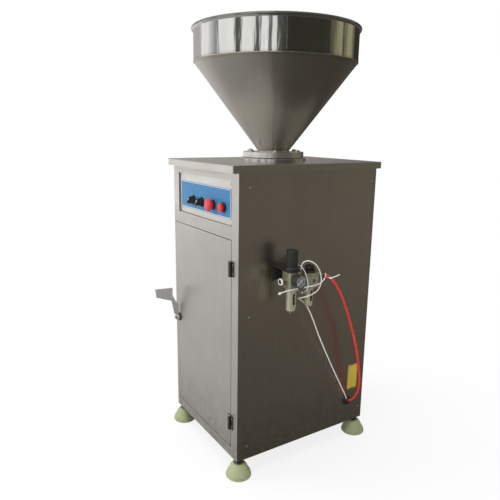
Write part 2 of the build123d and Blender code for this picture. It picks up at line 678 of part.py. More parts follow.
# Three-way plug valve
def make_valve():
    half = VALVE_LEN / 2
    flange_r = BOLT_PCD / 2 + 12.0
    body = rod_y(0, -half, half, VALVE_Z, VALVE_R)
    body += rod_z(0, 0, VALVE_Z, UNDER_COVER, PORT_R + 12.0)
    body += rod_z(0, 0, UNDER_COVER - COVER_PLATE_T, UNDER_COVER, flange_r)
    body += rod_z(0, 0, UNDER_COVER - 1, BODY_TOP, PLUG_R + 8.0 - FIT)
    body += rod_z(0, 0, DOSE_TOP, VALVE_Z, PORT_R + 12.0)
    body += rod_z(0, 0, DOSE_TOP, DOSE_TOP + DOSE_FLANGE_T, DOSE_FLANGE_R)
    body += rod_x(-VALVE_R - 2.0, 0, 0, VALVE_Z, PORT_R + 12.0)
    body -= rod_y(0, -half - 1, half + 1, VALVE_Z, PLUG_R + RUN_FIT)
    body -= rod_z(0, 0, DOSE_TOP - 1, BODY_TOP + 1, PORT_R)
    body -= rod_x(-VALVE_R - 3.0, 0, 0, VALVE_Z, PORT_R)
    for hole in bolt_holes(UNDER_COVER - COVER_PLATE_T - 1, UNDER_COVER + 1):
        body -= hole
    for x, y in corners(TIE_OFFSET, TIE_OFFSET):
        body -= rod_z(x, y, DOSE_TOP - 1, DOSE_TOP + DOSE_FLANGE_T - 1, TIE_R + RUN_FIT)
    keep("valve_housing", body)
    front = rod_y(0, -half - COVER_PLATE_T, -half, VALVE_Z, VALVE_R - 2.0)
    rear = ring_y(0, half, half + COVER_PLATE_T, VALVE_Z, VALVE_R - 2.0, SHAFT_R + RUN_FIT)
    heads = []
    for i in range(6):
        angle = radians(30 + 60 * i)
        x, z = (PLUG_R + 9.0) * sin(angle), VALVE_Z + (PLUG_R + 9.0) * cos(angle)
        heads.append(rod_y(x, -half - COVER_PLATE_T - 5.0, -half - COVER_PLATE_T, z, 4.5))
        heads.append(rod_y(x, half + COVER_PLATE_T, half + COVER_PLATE_T + 5.0, z, 4.5))
    keep("valve_covers", front + heads[0::2], rear + heads[1::2])
    plug = rod_y(0, -half + FIT, half - FIT, VALVE_Z, PLUG_R)
    plug -= rod_z(0, 0, VALVE_Z - PLUG_R - 1, VALVE_Z + PLUG_R + 1, PORT_R)
    plug -= rod_x(0, PLUG_R + 1, 0, VALVE_Z, PORT_R)
    plug += rod_y(0, half - FIT, GEAR_Y + GEAR_W + 6.0, VALVE_Z, SHAFT_R)
    keep("valve_plug", plug)


# Rack and pinion
def tooth_flank():
    """One flank of an involute tooth as (radius, half angle) from root to tip."""
    base_r = PITCH_R * cos(radians(PRESSURE_ANGLE))
    tip_r = PITCH_R + MODULE
    half_thick = (pi * MODULE / 2 - BACKLASH) / 2 / PITCH_R
    inv_pitch = tan(radians(PRESSURE_ANGLE)) - radians(PRESSURE_ANGLE)
    flank = [(PITCH_R - 1.25 * MODULE, half_thick + inv_pitch)]
    steps = 4
    for i in range(steps + 1):
        r = base_r + (tip_r - base_r) * i / steps
        roll = sqrt(max((r / base_r) ** 2 - 1, 0))
        inv = roll - atan2(roll, 1)
        flank.append((r, half_thick + inv_pitch - inv))
    return flank


def make_pinion():
    flank = tooth_flank()
    points = []
    for tooth in range(PINION_TEETH):
        centre = 2 * pi * (tooth + 0.5) / PINION_TEETH
        for r, half in flank:
            points.append((r * sin(centre - half), r * cos(centre - half)))
        for r, half in reversed(flank):
            points.append((r * sin(centre + half), r * cos(centre + half)))
    gear = extrude(make_face(Polyline(*points, close=True)), GEAR_W)
    gear = Pos(0, GEAR_Y + GEAR_W, VALVE_Z) * Rot(90, 0, 0) * gear
    gear += rod_y(0, GEAR_Y - 6.0, GEAR_Y, VALVE_Z, SHAFT_R + 5.0)
    gear -= rod_y(0, GEAR_Y - 7, GEAR_Y + GEAR_W + 1, VALVE_Z, SHAFT_R + 0.02)
    keep("valve_pinion", gear)


def make_rack():
    pitch = pi * MODULE
    line = VALVE_Z - PITCH_R
    root, tip = line - 1.25 * MODULE, line + MODULE
    slope = tan(radians(PRESSURE_ANGLE))
    half = pitch / 4 - BACKLASH / 2
    low, high = half + 1.25 * MODULE * slope, half - MODULE * slope
    points = [(RACK_LEFT, root - RACK_H + MODULE), (RACK_LEFT, root)]
    first = int(RACK_LEFT / pitch) + 1
    last = int(RACK_RIGHT / pitch) - 1
    for k in range(first, last + 1):
        x = k * pitch
        points += [(x - low, root), (x - high, tip), (x + high, tip), (x + low, root)]
    points += [(RACK_RIGHT, root), (RACK_RIGHT, root - RACK_H + MODULE)]
    face = make_face(Plane.XZ * Polyline(*points, close=True))
    rack = Pos(0, GEAR_Y + GEAR_W / 2, 0) * extrude(face, GEAR_W / 2, both=True)
    y, z = GEAR_Y + GEAR_W / 2, root - RACK_H / 2 + MODULE / 2
    piston_x = VALVE_CYL_X + AIR_PISTON_START + RACK_TRAVEL
    rack += rod_x(RACK_RIGHT - 1, piston_x, y, z, RACK_ROD_R)
    rack += rod_x(piston_x, piston_x + AIR_PISTON_T, y, z, VALVE_CYL_BORE_R - RUN_FIT)
    keep("valve_rack", rack)
    floor = root - RACK_H + MODULE - FIT
    left, right = RACK_LEFT - RACK_TRAVEL - 4.0, VALVE_CYL_X
    y0, y1 = GEAR_Y - GUIDE_T - FIT, GEAR_Y + GEAR_W + GUIDE_T + FIT
    guide = block(left, right, y0, y1, floor - GUIDE_T, floor)
    guide += block(left, RACK_RIGHT + 6.0, y0, y0 + GUIDE_T, floor, root - 1)
    guide += block(left, RACK_RIGHT + 6.0, y1 - GUIDE_T, y1, floor, root - 1)
    guide += block(VALVE_CYL_X - 8.0, VALVE_CYL_X, y0, y1, floor, root + 4.0)
    arm_y = VALVE_LEN / 2 + COVER_PLATE_T
    guide += block(-13, 13, arm_y, y0 + 1, floor - GUIDE_T, floor + 5.0)
    guide -= rod_x(VALVE_CYL_X - 9, VALVE_CYL_X + 1, y, z, RACK_ROD_R + RUN_FIT)
    keep("rack_guide", guide)
    s = VALVE_CYL_SIZE / 2
    cylinder = block(VALVE_CYL_X, VALVE_CYL_X + VALVE_CYL_LEN, y - s, y + s, z - s, z + s)
    cylinder = fillet(cylinder.edges().filter_by(Axis.X), 4.0)
    bore0, bore1 = VALVE_CYL_X + VALVE_CYL_END, VALVE_CYL_X + VALVE_CYL_LEN - VALVE_CYL_END
    cylinder -= rod_x(bore0, bore1, y, z, VALVE_CYL_BORE_R)
    cylinder -= rod_x(VALVE_CYL_X - 1, bore0 + 1, y, z, RACK_ROD_R + RUN_FIT)
    keep("rack_cylinder", cylinder)


# Dosing cylinder, air cylinder and the piston between them
def make_cylinders():
    outer = DOSE_BORE_R + DOSE_WALL
    dose = ring_z(0, 0, DOSE_BOTTOM, DOSE_TUBE_TOP, outer, DOSE_BORE_R)
    neck = turned([(PORT_R, DOSE_TOP), (DOSE_FLANGE_R, DOSE_TOP), (DOSE_FLANGE_R, DOSE_TUBE_TOP),
                   (DOSE_BORE_R, DOSE_TUBE_TOP)])
    dose += neck
    s = AIR_END_SIZE / 2
    barrel = ring_z(0, 0, AIR_CAP_TOP, AIR_HEAD_BOTTOM, AIR_BORE_R + AIR_WALL, AIR_BORE_R)
    head = block(-s, s, -s, s, AIR_HEAD_BOTTOM, AIR_TOP)
    cap = block(-s, s, -s, s, AIR_BOTTOM, AIR_CAP_TOP)
    head = fillet(head.edges().filter_by(Axis.Z), 8.0) - rod_z(0, 0, AIR_HEAD_BOTTOM - 1, AIR_TOP + 1,
                                                             ROD_R + RUN_FIT)
    cap = fillet(cap.edges().filter_by(Axis.Z), 8.0)
    rods = []
    for x, y in corners(TIE_OFFSET, TIE_OFFSET):
        hole = rod_z(x, y, AIR_BOTTOM - 1, DOSE_TOP + 1, TIE_R + RUN_FIT)
        dose -= hole
        head -= hole
        cap -= hole
        rod = rod_z(x, y, AIR_BOTTOM - 10.0, DOSE_TOP + DOSE_FLANGE_T - 1, TIE_R)
        rod += hex_z(x, y, AIR_BOTTOM - 6.5, AIR_BOTTOM, BOLT_AF)
        rod += hex_z(x, y, AIR_TOP, AIR_TOP + 6.5, BOLT_AF)
        rods.append(rod)
    keep("dosing_cylinder", dose)
    keep("air_cylinder", barrel, head, cap)
    keep("tie_rods", *rods)
    low = AIR_CAP_TOP + 6.0
    piston_z = DOSE_BOTTOM + 8.0
    rod = rod_z(0, 0, low, piston_z + PISTON_T - 6.0, ROD_R)
    rod += rod_z(0, 0, low, low + 20.0, AIR_BORE_R - RUN_FIT)
    keep("piston_rod", rod)
    r = DOSE_BORE_R - RUN_FIT
    piston = turned([
        (0, piston_z), (r, piston_z), (r, piston_z + 5), (r - 2.5, piston_z + 5),
        (r - 2.5, piston_z + 9), (r, piston_z + 9), (r, piston_z + 16), (r - 2.5, piston_z + 16),
        (r - 2.5, piston_z + 20), (r, piston_z + 20), (r, piston_z + PISTON_T),
        (0, piston_z + PISTON_T),
    ])
    piston -= rod_z(0, 0, piston_z - 1, piston_z + PISTON_T - 6.0 + RUN_FIT, ROD_R + RUN_FIT)
    seals = [ring_z(0, 0, piston_z + z + 0.05, piston_z + z + 3.95, r, r - 2.45) for z in (5, 16)]
    keep("dosing_piston", piston, *seals)


# Outlet pipe, union nut and filling nozzle
def make_outlet():
    start = -VALVE_R - 2.0
    pipe = ring_x(PIPE_END, start, 0, VALVE_Z, PORT_R + PIPE_WALL, PORT_R)
    pipe += ring_x(PIPE_END, PIPE_END + THREAD_LEN, 0, VALVE_Z, THREAD_R, PORT_R)
    keep("outlet_pipe", pipe)
    seat = PIPE_END
    lip = seat - 4.0
    tip = NOZZLE_TIP
    bend = tip + NOZZLE_TIP_LEN
    t = NOZZLE_WALL
    profile = [
        (THREAD_R - 1.0, -seat), (THREAD_R - 1.0, -lip), (PORT_R, -lip), (NOZZLE_TIP_R, -bend),
        (NOZZLE_TIP_R, -tip), (NOZZLE_TIP_R - t, -tip), (NOZZLE_TIP_R - t, -bend),
        (PORT_R - t, -lip), (PORT_R - t, -seat),
    ]
    nozzle = Pos(0, 0, VALVE_Z) * Rot(0, -90, 0) * turned(profile)
    keep("filling_nozzle", nozzle)
    mouth = PORT_R + 2.0
    x1 = lip - 0.2 - 5.0
    nut = rod_x(x1, x1 + UNION_LEN, 0, VALVE_Z, UNION_R)
    nut = chamfer(nut.edges().filter_by(GeomType.CIRCLE), 2.0)
    nut -= rod_x(x1 - 1, x1 + UNION_LEN + 1, 0, VALVE_Z, mouth)
    nut -= rod_x(x1 + 5.0, x1 + UNION_LEN + 1, 0, VALVE_Z, THREAD_R + RUN_FIT)
    for i in range(4):
        notch = block(x1 - 1, x1 + UNION_LEN + 1, -5, 5, UNION_R - 5.0, UNION_R + 2)
        nut -= Pos(0, 0, VALVE_Z) * Rot(45 + 90 * i, 0, 0) * notch
    keep("union_nut", nut)


# Air service unit
def unit_body(y, z_range):
    s = UNIT_BODY / 2
    body = block(UNIT_X - s, UNIT_X + s, y - s, y + s, *z_range)
    body = fillet(body.edges().filter_by(Axis.Z), 7.0)
    return fillet(body.edges().group_by(Axis.Z)[0], 2.5)


def guard(y, z1, r, height, slot_w, slot_h):
    """A metal bowl guard: a tube with a rounded foot and two sight slots."""
    z0 = z1 - height
    cup = rod_z(UNIT_X, y, z0, z1, r)
    cup = fillet(cup.edges().group_by(Axis.Z)[0], 4.0)
    cup -= rod_z(UNIT_X, y, z0 + 4.0, z1 + 1, r - GUARD_WALL)
    cup -= rod_z(UNIT_X, y, z0 - 1, z0 + 5, 3.0)
    window = extrude(Plane.YZ * SlotOverall(slot_h, slot_w, rotation=90), r + 1, both=True)
    return cup - Pos(UNIT_X, y, z0 + 0.55 * height) * window


def bowl(y, z1, r, height):
    z0 = z1 - height
    return ring_z(UNIT_X, y, z0 + 4.0, z1, r - GUARD_WALL - 0.1, r - GUARD_WALL - 1.6)


def make_air_unit():
    x, reg, lub = UNIT_X, REGULATOR_Y, LUBRICATOR_Y
    s = UNIT_BODY / 2
    regulator = unit_body(reg, REGULATOR_ZS)
    lubricator = unit_body(lub, LUBRICATOR_ZS)
    unit_top, lub_top = REGULATOR_ZS[1], LUBRICATOR_ZS[1]
    regulator -= rod_y(x, reg - s - 1, reg - s + 10.0, UNIT_Z, 6.6)
    lubricator -= rod_y(x, lub + s - 10.0, lub + s + 1, UNIT_Z, 6.6)
    regulator -= rod_x(x + s - 8.0, x + s + 1, reg, GAUGE_Z, 5.0)
    keep("regulator_body", regulator)
    keep("lubricator_body", lubricator)
    plate_top = unit_top + BRACKET_T
    bracket = block(HALF_W, HALF_W + BRACKET_T, reg - 24, reg + 24, unit_top - 36.0, plate_top)
    bracket += block(HALF_W, x + 16.0, reg - 17, reg + 17, unit_top, plate_top)
    for y in (-16.0, 16.0):
        head = rod_x(HALF_W + BRACKET_T, HALF_W + BRACKET_T + 3.0, reg + y, unit_top - 26.0, 4.0)
        bracket += head
    bracket -= rod_z(x, reg, unit_top - 1, plate_top + 1, 14.0)
    keep("unit_bracket", bracket)
    collar_top = plate_top + COLLAR_H
    bonnet = turned([(0, unit_top), (13.9, unit_top), (13.9, plate_top), (COLLAR_R, plate_top),
                     (COLLAR_R, plate_top + COLLAR_H - 3), (COLLAR_R - 3, collar_top),
                     (12.0, collar_top), (12.0, collar_top + 16.0), (0, collar_top + 16.0)])
    keep("regulator_bonnet", Pos(x, reg, 0) * bonnet)
    knob = rod_z(x, reg, collar_top + FIT, collar_top + KNOB_H, KNOB_R)
    knob = fillet(knob.edges().group_by(Axis.Z)[-1], 3.0)
    knob -= rod_z(x, reg, collar_top - 1, collar_top + 16.0 + FIT, 12.0 + RUN_FIT)
    for i in range(24):
        rib = Rot(0, 0, 15.0 * i) * rod_z(KNOB_R + 0.6, 0, collar_top - 1, collar_top + KNOB_H - 6.0, 1.2)
        knob -= Pos(x, reg, 0) * rib
    keep("regulator_knob", knob)
    dome = rod_z(x, lub, lub_top, lub_top + DOME_H, DOME_R)
    dome = fillet(dome.edges().group_by(Axis.Z)[-1], 8.0)
    keep("sight_dome", dome)
    keep("bowl_guards",
         guard(reg, REGULATOR_ZS[0], FILTER_GUARD_R, FILTER_GUARD_H, 8.0, 34.0),
         guard(lub, LUBRICATOR_ZS[0], OIL_GUARD_R, OIL_GUARD_H, 7.0, 32.0))
    keep("clear_bowls",
         bowl(reg, REGULATOR_ZS[0], FILTER_GUARD_R, FILTER_GUARD_H),
         bowl(lub, LUBRICATOR_ZS[0], OIL_GUARD_R, OIL_GUARD_H))
    make_gauge()
    make_fittings()


def make_gauge():
    x0 = UNIT_X + UNIT_BODY / 2
    y, z = REGULATOR_Y, GAUGE_Z
    back = x0 + 3.0
    front = back + GAUGE_DEPTH
    case = rod_x(back, front, y, z, GAUGE_R)
    case = fillet(case.edges().filter_by(GeomType.CIRCLE), 1.5)
    case += rod_x(x0 - 7.0, back, y, z, 5.0 - RUN_FIT)
    case -= rod_x(front - 6.0, front + 1, y, z, GAUGE_R - 2.0)
    case += rod_x(front - 7.0, front - 3.0, y, z, 1.2)
    keep("gauge_case", case)
    hub = ring_x(front - 5.0, front - 3.5, y, z, 2.6, 1.2 + RUN_FIT)
    pointer = block(front - 4.6, front - 3.9, y - 0.7, y + 0.7, z + 2.0, z + GAUGE_R - 5.0)
    pointer += block(front - 4.6, front - 3.9, y - 0.9, y + 0.9, z - 6.0, z - 2.0)
    needle = (hub + pointer).rotate(Axis((0, y, z), (1, 0, 0)), GAUGE_ZERO)
    keep("gauge_needle", needle)


def make_fittings():
    x, z = UNIT_X, UNIT_Z
    reg0 = REGULATOR_Y - UNIT_BODY / 2
    reg1 = REGULATOR_Y + UNIT_BODY / 2
    lub0 = LUBRICATOR_Y - UNIT_BODY / 2
    lub1 = LUBRICATOR_Y + UNIT_BODY / 2
    inlet = rod_y(x, reg0 - INLET_LEN, reg0, z, 9.0) + rod_y(x, reg0, reg0 + 9.0, z, 6.5)
    inlet = chamfer(inlet.edges().group_by(Axis.Y)[0], 1.0)
    inlet -= rod_y(x, reg0 - INLET_LEN - 1, reg0 + 10.0, z, INLET_BORE_R)
    spacer = block(x - 12, x + 12, reg1, lub0, z - 12, z + 12)
    spacer = fillet(spacer.edges().filter_by(Axis.Y), 3.0)
    mid = (reg1 + lub0) / 2
    spacer += rod_z(x, mid, z + 12, z + PILOT_FITTING_H, 5.0)
    spacer -= rod_z(x, mid, z, z + PILOT_FITTING_H + 1, PILOT_R + CORD_FIT)
    outlet = rod_y(x, lub1 - 9.0, lub1, z, 6.5)
    outlet += Pos(x, lub1, z) * Rot(-90, 0, 0) * extrude(RegularPolygon(7.5, 6, major_radius=False), 9.0)
    outlet += rod_y(x, lub1 + 9.0, lub1 + OUTLET_LEN, z, 7.0)
    outlet -= rod_y(x, lub1 + 12.0, lub1 + OUTLET_LEN + 1, z, HOSE_R + CORD_FIT)
    drains = []
    bowls = ((REGULATOR_Y, REGULATOR_ZS[0] - FILTER_GUARD_H), (LUBRICATOR_Y, LUBRICATOR_ZS[0] - OIL_GUARD_H))
    for y, foot in bowls:
        drain = rod_z(x, y, foot - 3.0, foot + 6.0, 2.9) + rod_z(x, y, foot - 3.0, foot, 5.0)
        if y == REGULATOR_Y:
            drain += rod_z(x, y, foot - 9.0, foot - 2.0, 3.5)
        drains.append(drain)
    keep("air_fittings", inlet, spacer, outlet, *drains)


# Routes of the hose and the pilot tube, chosen by hand, about the cabinet's middle
HOSE_ROUTE = [
    (258, -17, 603), (258, 4, 603), (257.5, 24, 594), (256.5, 44, 576), (255, 64, 551),
    (252, 90, 509), (250, 119, 447), (249, 144, 382), (249, 163, 322), (249, 176, 262),
    (247, 184, 212), (239, 185, 176), (225, 181, 150), (208, 178.5, 136.5), (193, 178.5, 133),
    (179, 178.5, 132.5),
]
PILOT_ROUTE = [
    (258, -80, 616), (258, -80, 634), (258.5, -76, 647), (260.5, -62, 652), (263.5, -46, 648),
    (266.5, -32, 637), (269, -21, 619), (270.5, -16, 599), (272, -18, 580), (275, -30, 566),
    (277.5, -48, 560), (277, -66, 556), (271.5, -80, 552), (259, -86, 548), (246, -80, 543),
    (237, -66, 536), (233.5, -50, 526), (233, -36, 511), (231, -20, 488), (226, 0, 453),
    (221, 22, 410), (217, 50, 358), (214, 80, 304), (212, 110, 250), (211, 137, 203),
    (210, 157, 168), (209, 168, 148), (201, 171, 140.5), (190, 171, 139), (179, 171, 138.5),
]


def corner_radii(route):
    """The largest arc that the shorter of the two runs at each corner allows."""
    radii = []
    for a, b, c in zip(route, route[1:], route[2:]):
        before = Vector(*b) - Vector(*a)
        after = Vector(*c) - Vector(*b)
        turn = radians(before.get_angle(after))
        radii.append(0.45 * min(before.length, after.length) / tan(turn / 2))
    return radii


def cord_tube(route, r, path):
    start = Vector(*route[1]) - Vector(*route[0])
    section = Plane(origin=route[0], z_dir=start) * Circle(r)
    return sweep(section, path=path)


def make_cord(name, route, r):
    radii = corner_radii(route)
    path = FilletPolyline(*route, radius=radii)
    tube = cord_tube(route, r, path)
    ratio = tube.volume / (pi * r * r * path.length)
    print(name, "length", round(path.length, 1), "volume ratio", round(ratio, 4),
          "radii", [round(v) for v in radii])
    keep(name, tube)
    return cord_tube(route, r + CORD_FIT, path)


def make_grommet(cords):
    y, z = GROMMET_Y, GROMMET_Z
    outer = rod_x(HALF_W, HALF_W + 5.0, y, z, GROMMET_R)
    outer = fillet(outer.edges().group_by(Axis.X)[-1], 2.5)
    grommet = outer + rod_x(INNER_W, HALF_W, y, z, GROMMET_HOLE_R)
    grommet += rod_x(INNER_W - 3.0, INNER_W, y, z, GROMMET_R - 1.0)
    for cord in cords:
        grommet -= cord
    keep("cable_grommet", grommet)


# Inside: solenoid valves by the grommet, control box on the left wall
def make_inside(cords):
    y0 = GROMMET_Y - MANIFOLD_LEN + 24.0
    y1 = GROMMET_Y + 24.0
    z0, z1 = GROMMET_Z - MANIFOLD_H / 2, GROMMET_Z + MANIFOLD_H / 2
    block_x0 = MANIFOLD_X - MANIFOLD_W
    manifold = block(block_x0, MANIFOLD_X, y0, y1, z0, z1)
    for y in (y0, y0 + 40.0):
        manifold += block(MANIFOLD_X, INNER_W, y, y + 12, z0, z1)
    fitting_x = MANIFOLD_X + 14.0
    for route, r in ((HOSE_ROUTE, HOSE_R), (PILOT_ROUTE, PILOT_R)):
        end = route[-1]
        manifold += rod_x(MANIFOLD_X, fitting_x - 6.0, end[1], end[2], r + 1.5)
    for cord in cords:
        manifold -= cord
    valves = []
    coil_z = z1 + SOLENOID_BODY_H
    for i in range(SOLENOID_COUNT):
        y = y0 + 8.0 + SOLENOID_PITCH * i
        valve = block(block_x0, MANIFOLD_X - 2, y, y + SOLENOID_W, z1, coil_z)
        coil = block(block_x0 - 2, MANIFOLD_X, y + 1, y + SOLENOID_W - 1, coil_z, coil_z + SOLENOID_COIL_H)
        valves.append(fillet(coil.edges().filter_by(Axis.Z), 3.0) + valve)
    keep("solenoid_valves", manifold, *valves)
    w, d, h = CONTROL_BOX
    x0, y0, z0 = -INNER_W, CONTROL_BOX_Y, BODY_TOP - CONTROL_BOX_DROP
    box = block(x0, x0 + w, y0, y0 + d, z0, z0 + h)
    box = fillet(box.edges().filter_by(Axis.X), 5.0)
    lid = block(x0 + w, x0 + w + LID_T, y0, y0 + d, z0, z0 + h)
    lid = fillet(lid.edges().filter_by(Axis.X), 5.0)
    keep("control_box", box, lid)


# Levelling feet
def make_feet():
    for x, y in corners(FOOT_X, FOOT_Y):
        row = "front" if y < 0 else "back"
        side = "left" if x < 0 else "right"
        pad = make_foot_pad()
        stem = rod_z(0, 0, 30.0, BODY_BOTTOM + SHEET + TUBE_WALL + 20.0, STEM_R)
        stem += hex_z(0, 0, FOOT_H, BODY_BOTTOM - FIT, 17.0)
        pad -= rod_z(0, 0, 30.0, FOOT_H + 1, STEM_R)
        keep(f"foot_{row}_{side}", Pos(x, y, 0) * pad, Pos(x, y, 0) * stem)


def make_foot_pad():
    low = 7.0
    top_r = 15.0
    with BuildSketch(Plane.XZ) as profile:
        with BuildLine():
            Line((0, 0), (FOOT_R - 1.5, 0))
            Line((FOOT_R - 1.5, 0), (FOOT_R, 1.5))
            Line((FOOT_R, 1.5), (FOOT_R, low))
            Spline((FOOT_R, low), (FOOT_R - 7.0, 22.0), (top_r, FOOT_H), tangents=((-0.1, 1), (-1, 0.35)))
            Line((top_r, FOOT_H), (0, FOOT_H))
            Line((0, FOOT_H), (0, 0))
        make_face()
    return revolve(profile.sketch, Axis.Z)


def main():
    make_frame()
    make_panels()
    make_top_cover()
    make_fascia()
    make_control_panel()
    make_screws()
    make_door()
    make_hinges()
    make_knee_lever()
    make_door_catch()
    make_knobs()
    make_hopper()
    make_valve()
    make_pinion()
    make_rack()
    make_cylinders()
    make_outlet()
    make_air_unit()
    cords = [make_cord("red_hose", HOSE_ROUTE, HOSE_R), make_cord("pilot_tube", PILOT_ROUTE, PILOT_R)]
    make_grommet(cords)
    make_inside(cords)
    make_feet()
    os.makedirs("parts", exist_ok=True)
    shift = Pos(CABINET_X, CABINET_Y, 0)
    for name, solids in PARTS.items():
        moved = [shift * solid for solid in solids]
        shape = moved[0] if len(moved) == 1 else Compound(moved)
        export_step(shape, f"parts/{name}.step")
    print(len(PARTS), "nodes")


main()
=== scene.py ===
import math
import random

import bmesh
import bpy
from mathutils import Matrix, Vector


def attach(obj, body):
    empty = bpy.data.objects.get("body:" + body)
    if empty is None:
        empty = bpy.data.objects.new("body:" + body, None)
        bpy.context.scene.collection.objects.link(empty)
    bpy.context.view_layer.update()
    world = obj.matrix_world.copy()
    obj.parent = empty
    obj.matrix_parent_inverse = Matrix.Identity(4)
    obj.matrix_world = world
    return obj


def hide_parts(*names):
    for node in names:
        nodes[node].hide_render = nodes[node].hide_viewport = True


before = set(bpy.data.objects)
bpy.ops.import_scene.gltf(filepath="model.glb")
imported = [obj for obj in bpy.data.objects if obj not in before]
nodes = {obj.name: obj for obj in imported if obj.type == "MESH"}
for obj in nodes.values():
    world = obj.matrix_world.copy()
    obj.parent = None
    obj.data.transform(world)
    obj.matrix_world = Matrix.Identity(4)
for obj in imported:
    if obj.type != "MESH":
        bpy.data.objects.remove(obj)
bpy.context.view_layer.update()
random.seed(7)

# The cabinet's middle in the row frame, in metres
CX, CY = 0.053, 0.0305

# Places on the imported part, in millimetres about the cabinet's middle
HALF_W, HALF_D = 200.0, 245.0
PLATE_FRONT, FACE_FRONT, GRIP_FRONT = -240.5, -241.3, -261.8
PANEL_Z, FACE_Z, SWITCH_Z = 807.0, 804.5, 792.0
FACE_W, FACE_H = 308.0, 82.0
SELECTOR_XS = (-68.0, -15.0)
TICK_FROM, TICK_TO, FIGURE_R = 15.8, 18.0, 21.5
BAND_R, BAND_Z, RIM_Z, NECK_R, FLANGE_TOP = 243.0, 1193.0, 1283.0, 46.0, 936.0
BOLT_CIRCLE_R = 80.0
UNIT_X, UNIT_FRONT, UNIT_Z, UNIT_SCREW_DY = 258.0, 278.0, 603.0, 12.47
REG_Y, REG_LOW, REG_TOP = -111.0, 580.0, 628.0
LUB_Y, LUB_LOW, LUB_TOP = -49.0, 576.0, 618.0
GAUGE_Z, DIAL_X = 608.0, 296.0
DIAL_START, DIAL_SWEEP, DIAL_STEPS = -135.0, 270.0, 50
HINGE_X, HINGE_Y, HINGE_ZS, HINGE_H = 164.0, -250.3, (169.0, 630.0), 42.0
LEVER_X, LEVER_Z = -176.0, 386.0
LEAF_FRONT, LEAF_SCREW_DX, LEAF_SCREW_DZ, LEVER_FRONT = -247.4, 9.3, 13.0, -258.5
FOOT_X, FOOT_Y, FOOT_R, PAD_TOP, THREAD_PITCH = 183.5, 228.5, 37.0, 42.0, 1.5
PANEL_SCREW_X, PANEL_SCREW_DZ, SCREW_HEAD = 158.0, 54.0, 2.2
SIDE_SCREW_YS, REAR_SCREW_X, SHEET_SCREW_ZS = (-209.5, 231.5), 186.5, (96.0, 494.0, 850.0)
INLET_Y, COLLET_Y, PILOT_Y, PILOT_Z = -149.0, -5.0, -80.0, 625.0
OIL_LOW, DRAIN_DROP, DOME_H, KNOB_TOP = 526.0, 54.5, 20.0, 687.5
STICKER_Y, STICKER_Z, STICKER_W, STICKER_H = 196.5, 215.0, 41.0, 84.0
LID_X, LID_Y, LID_Z, LID_W, LID_H = -123.5, -40.0, 575.0, 126.0, 176.0
LID_SCREW_DY, LID_SCREW_DZ = 61.0, 86.0
COIL_X, COIL_YS, COIL_Z = 150.0, (111.0, 145.0, 179.0), 224.0
PORT_X, PORT_ZS, OUTLET_Z = 48.0, (470.0, 226.0), 834.0

# The camera, solved from the photograph: lens in millimetres, place in metres, turns in degrees
LENS, SENSOR, CAMERA_AT = 37.18, 36.0, (1.3867, -0.9037, 0.9944)
YAW, PITCH, ROLL = -57.39, 12.90, 0.76


def at(x, y, z):
    """A point given about the cabinet's middle in millimetres, in the row frame in metres."""
    return Vector((x / 1000 + CX, y / 1000 + CY, z / 1000))


# Camera
def make_camera():
    data = bpy.data.cameras.new("camera")
    data.lens = LENS
    data.sensor_width = SENSOR
    camera = bpy.data.objects.new("camera", data)
    bpy.context.scene.collection.objects.link(camera)
    yaw, pitch, roll = math.radians(YAW), math.radians(PITCH), math.radians(ROLL)
    forward = Vector((math.sin(yaw) * math.cos(pitch), math.cos(yaw) * math.cos(pitch), -math.sin(pitch)))
    level = Vector((math.cos(yaw), -math.sin(yaw), 0))
    above = level.cross(forward)
    right = math.cos(roll) * level + math.sin(roll) * above
    up = -math.sin(roll) * level + math.cos(roll) * above
    turn = Matrix((right, up, -forward)).transposed()
    camera.matrix_world = Matrix.Translation(CAMERA_AT) @ turn.to_4x4()
    bpy.context.scene.camera = camera
    bpy.context.scene.view_settings.view_transform = "Standard"


make_camera()


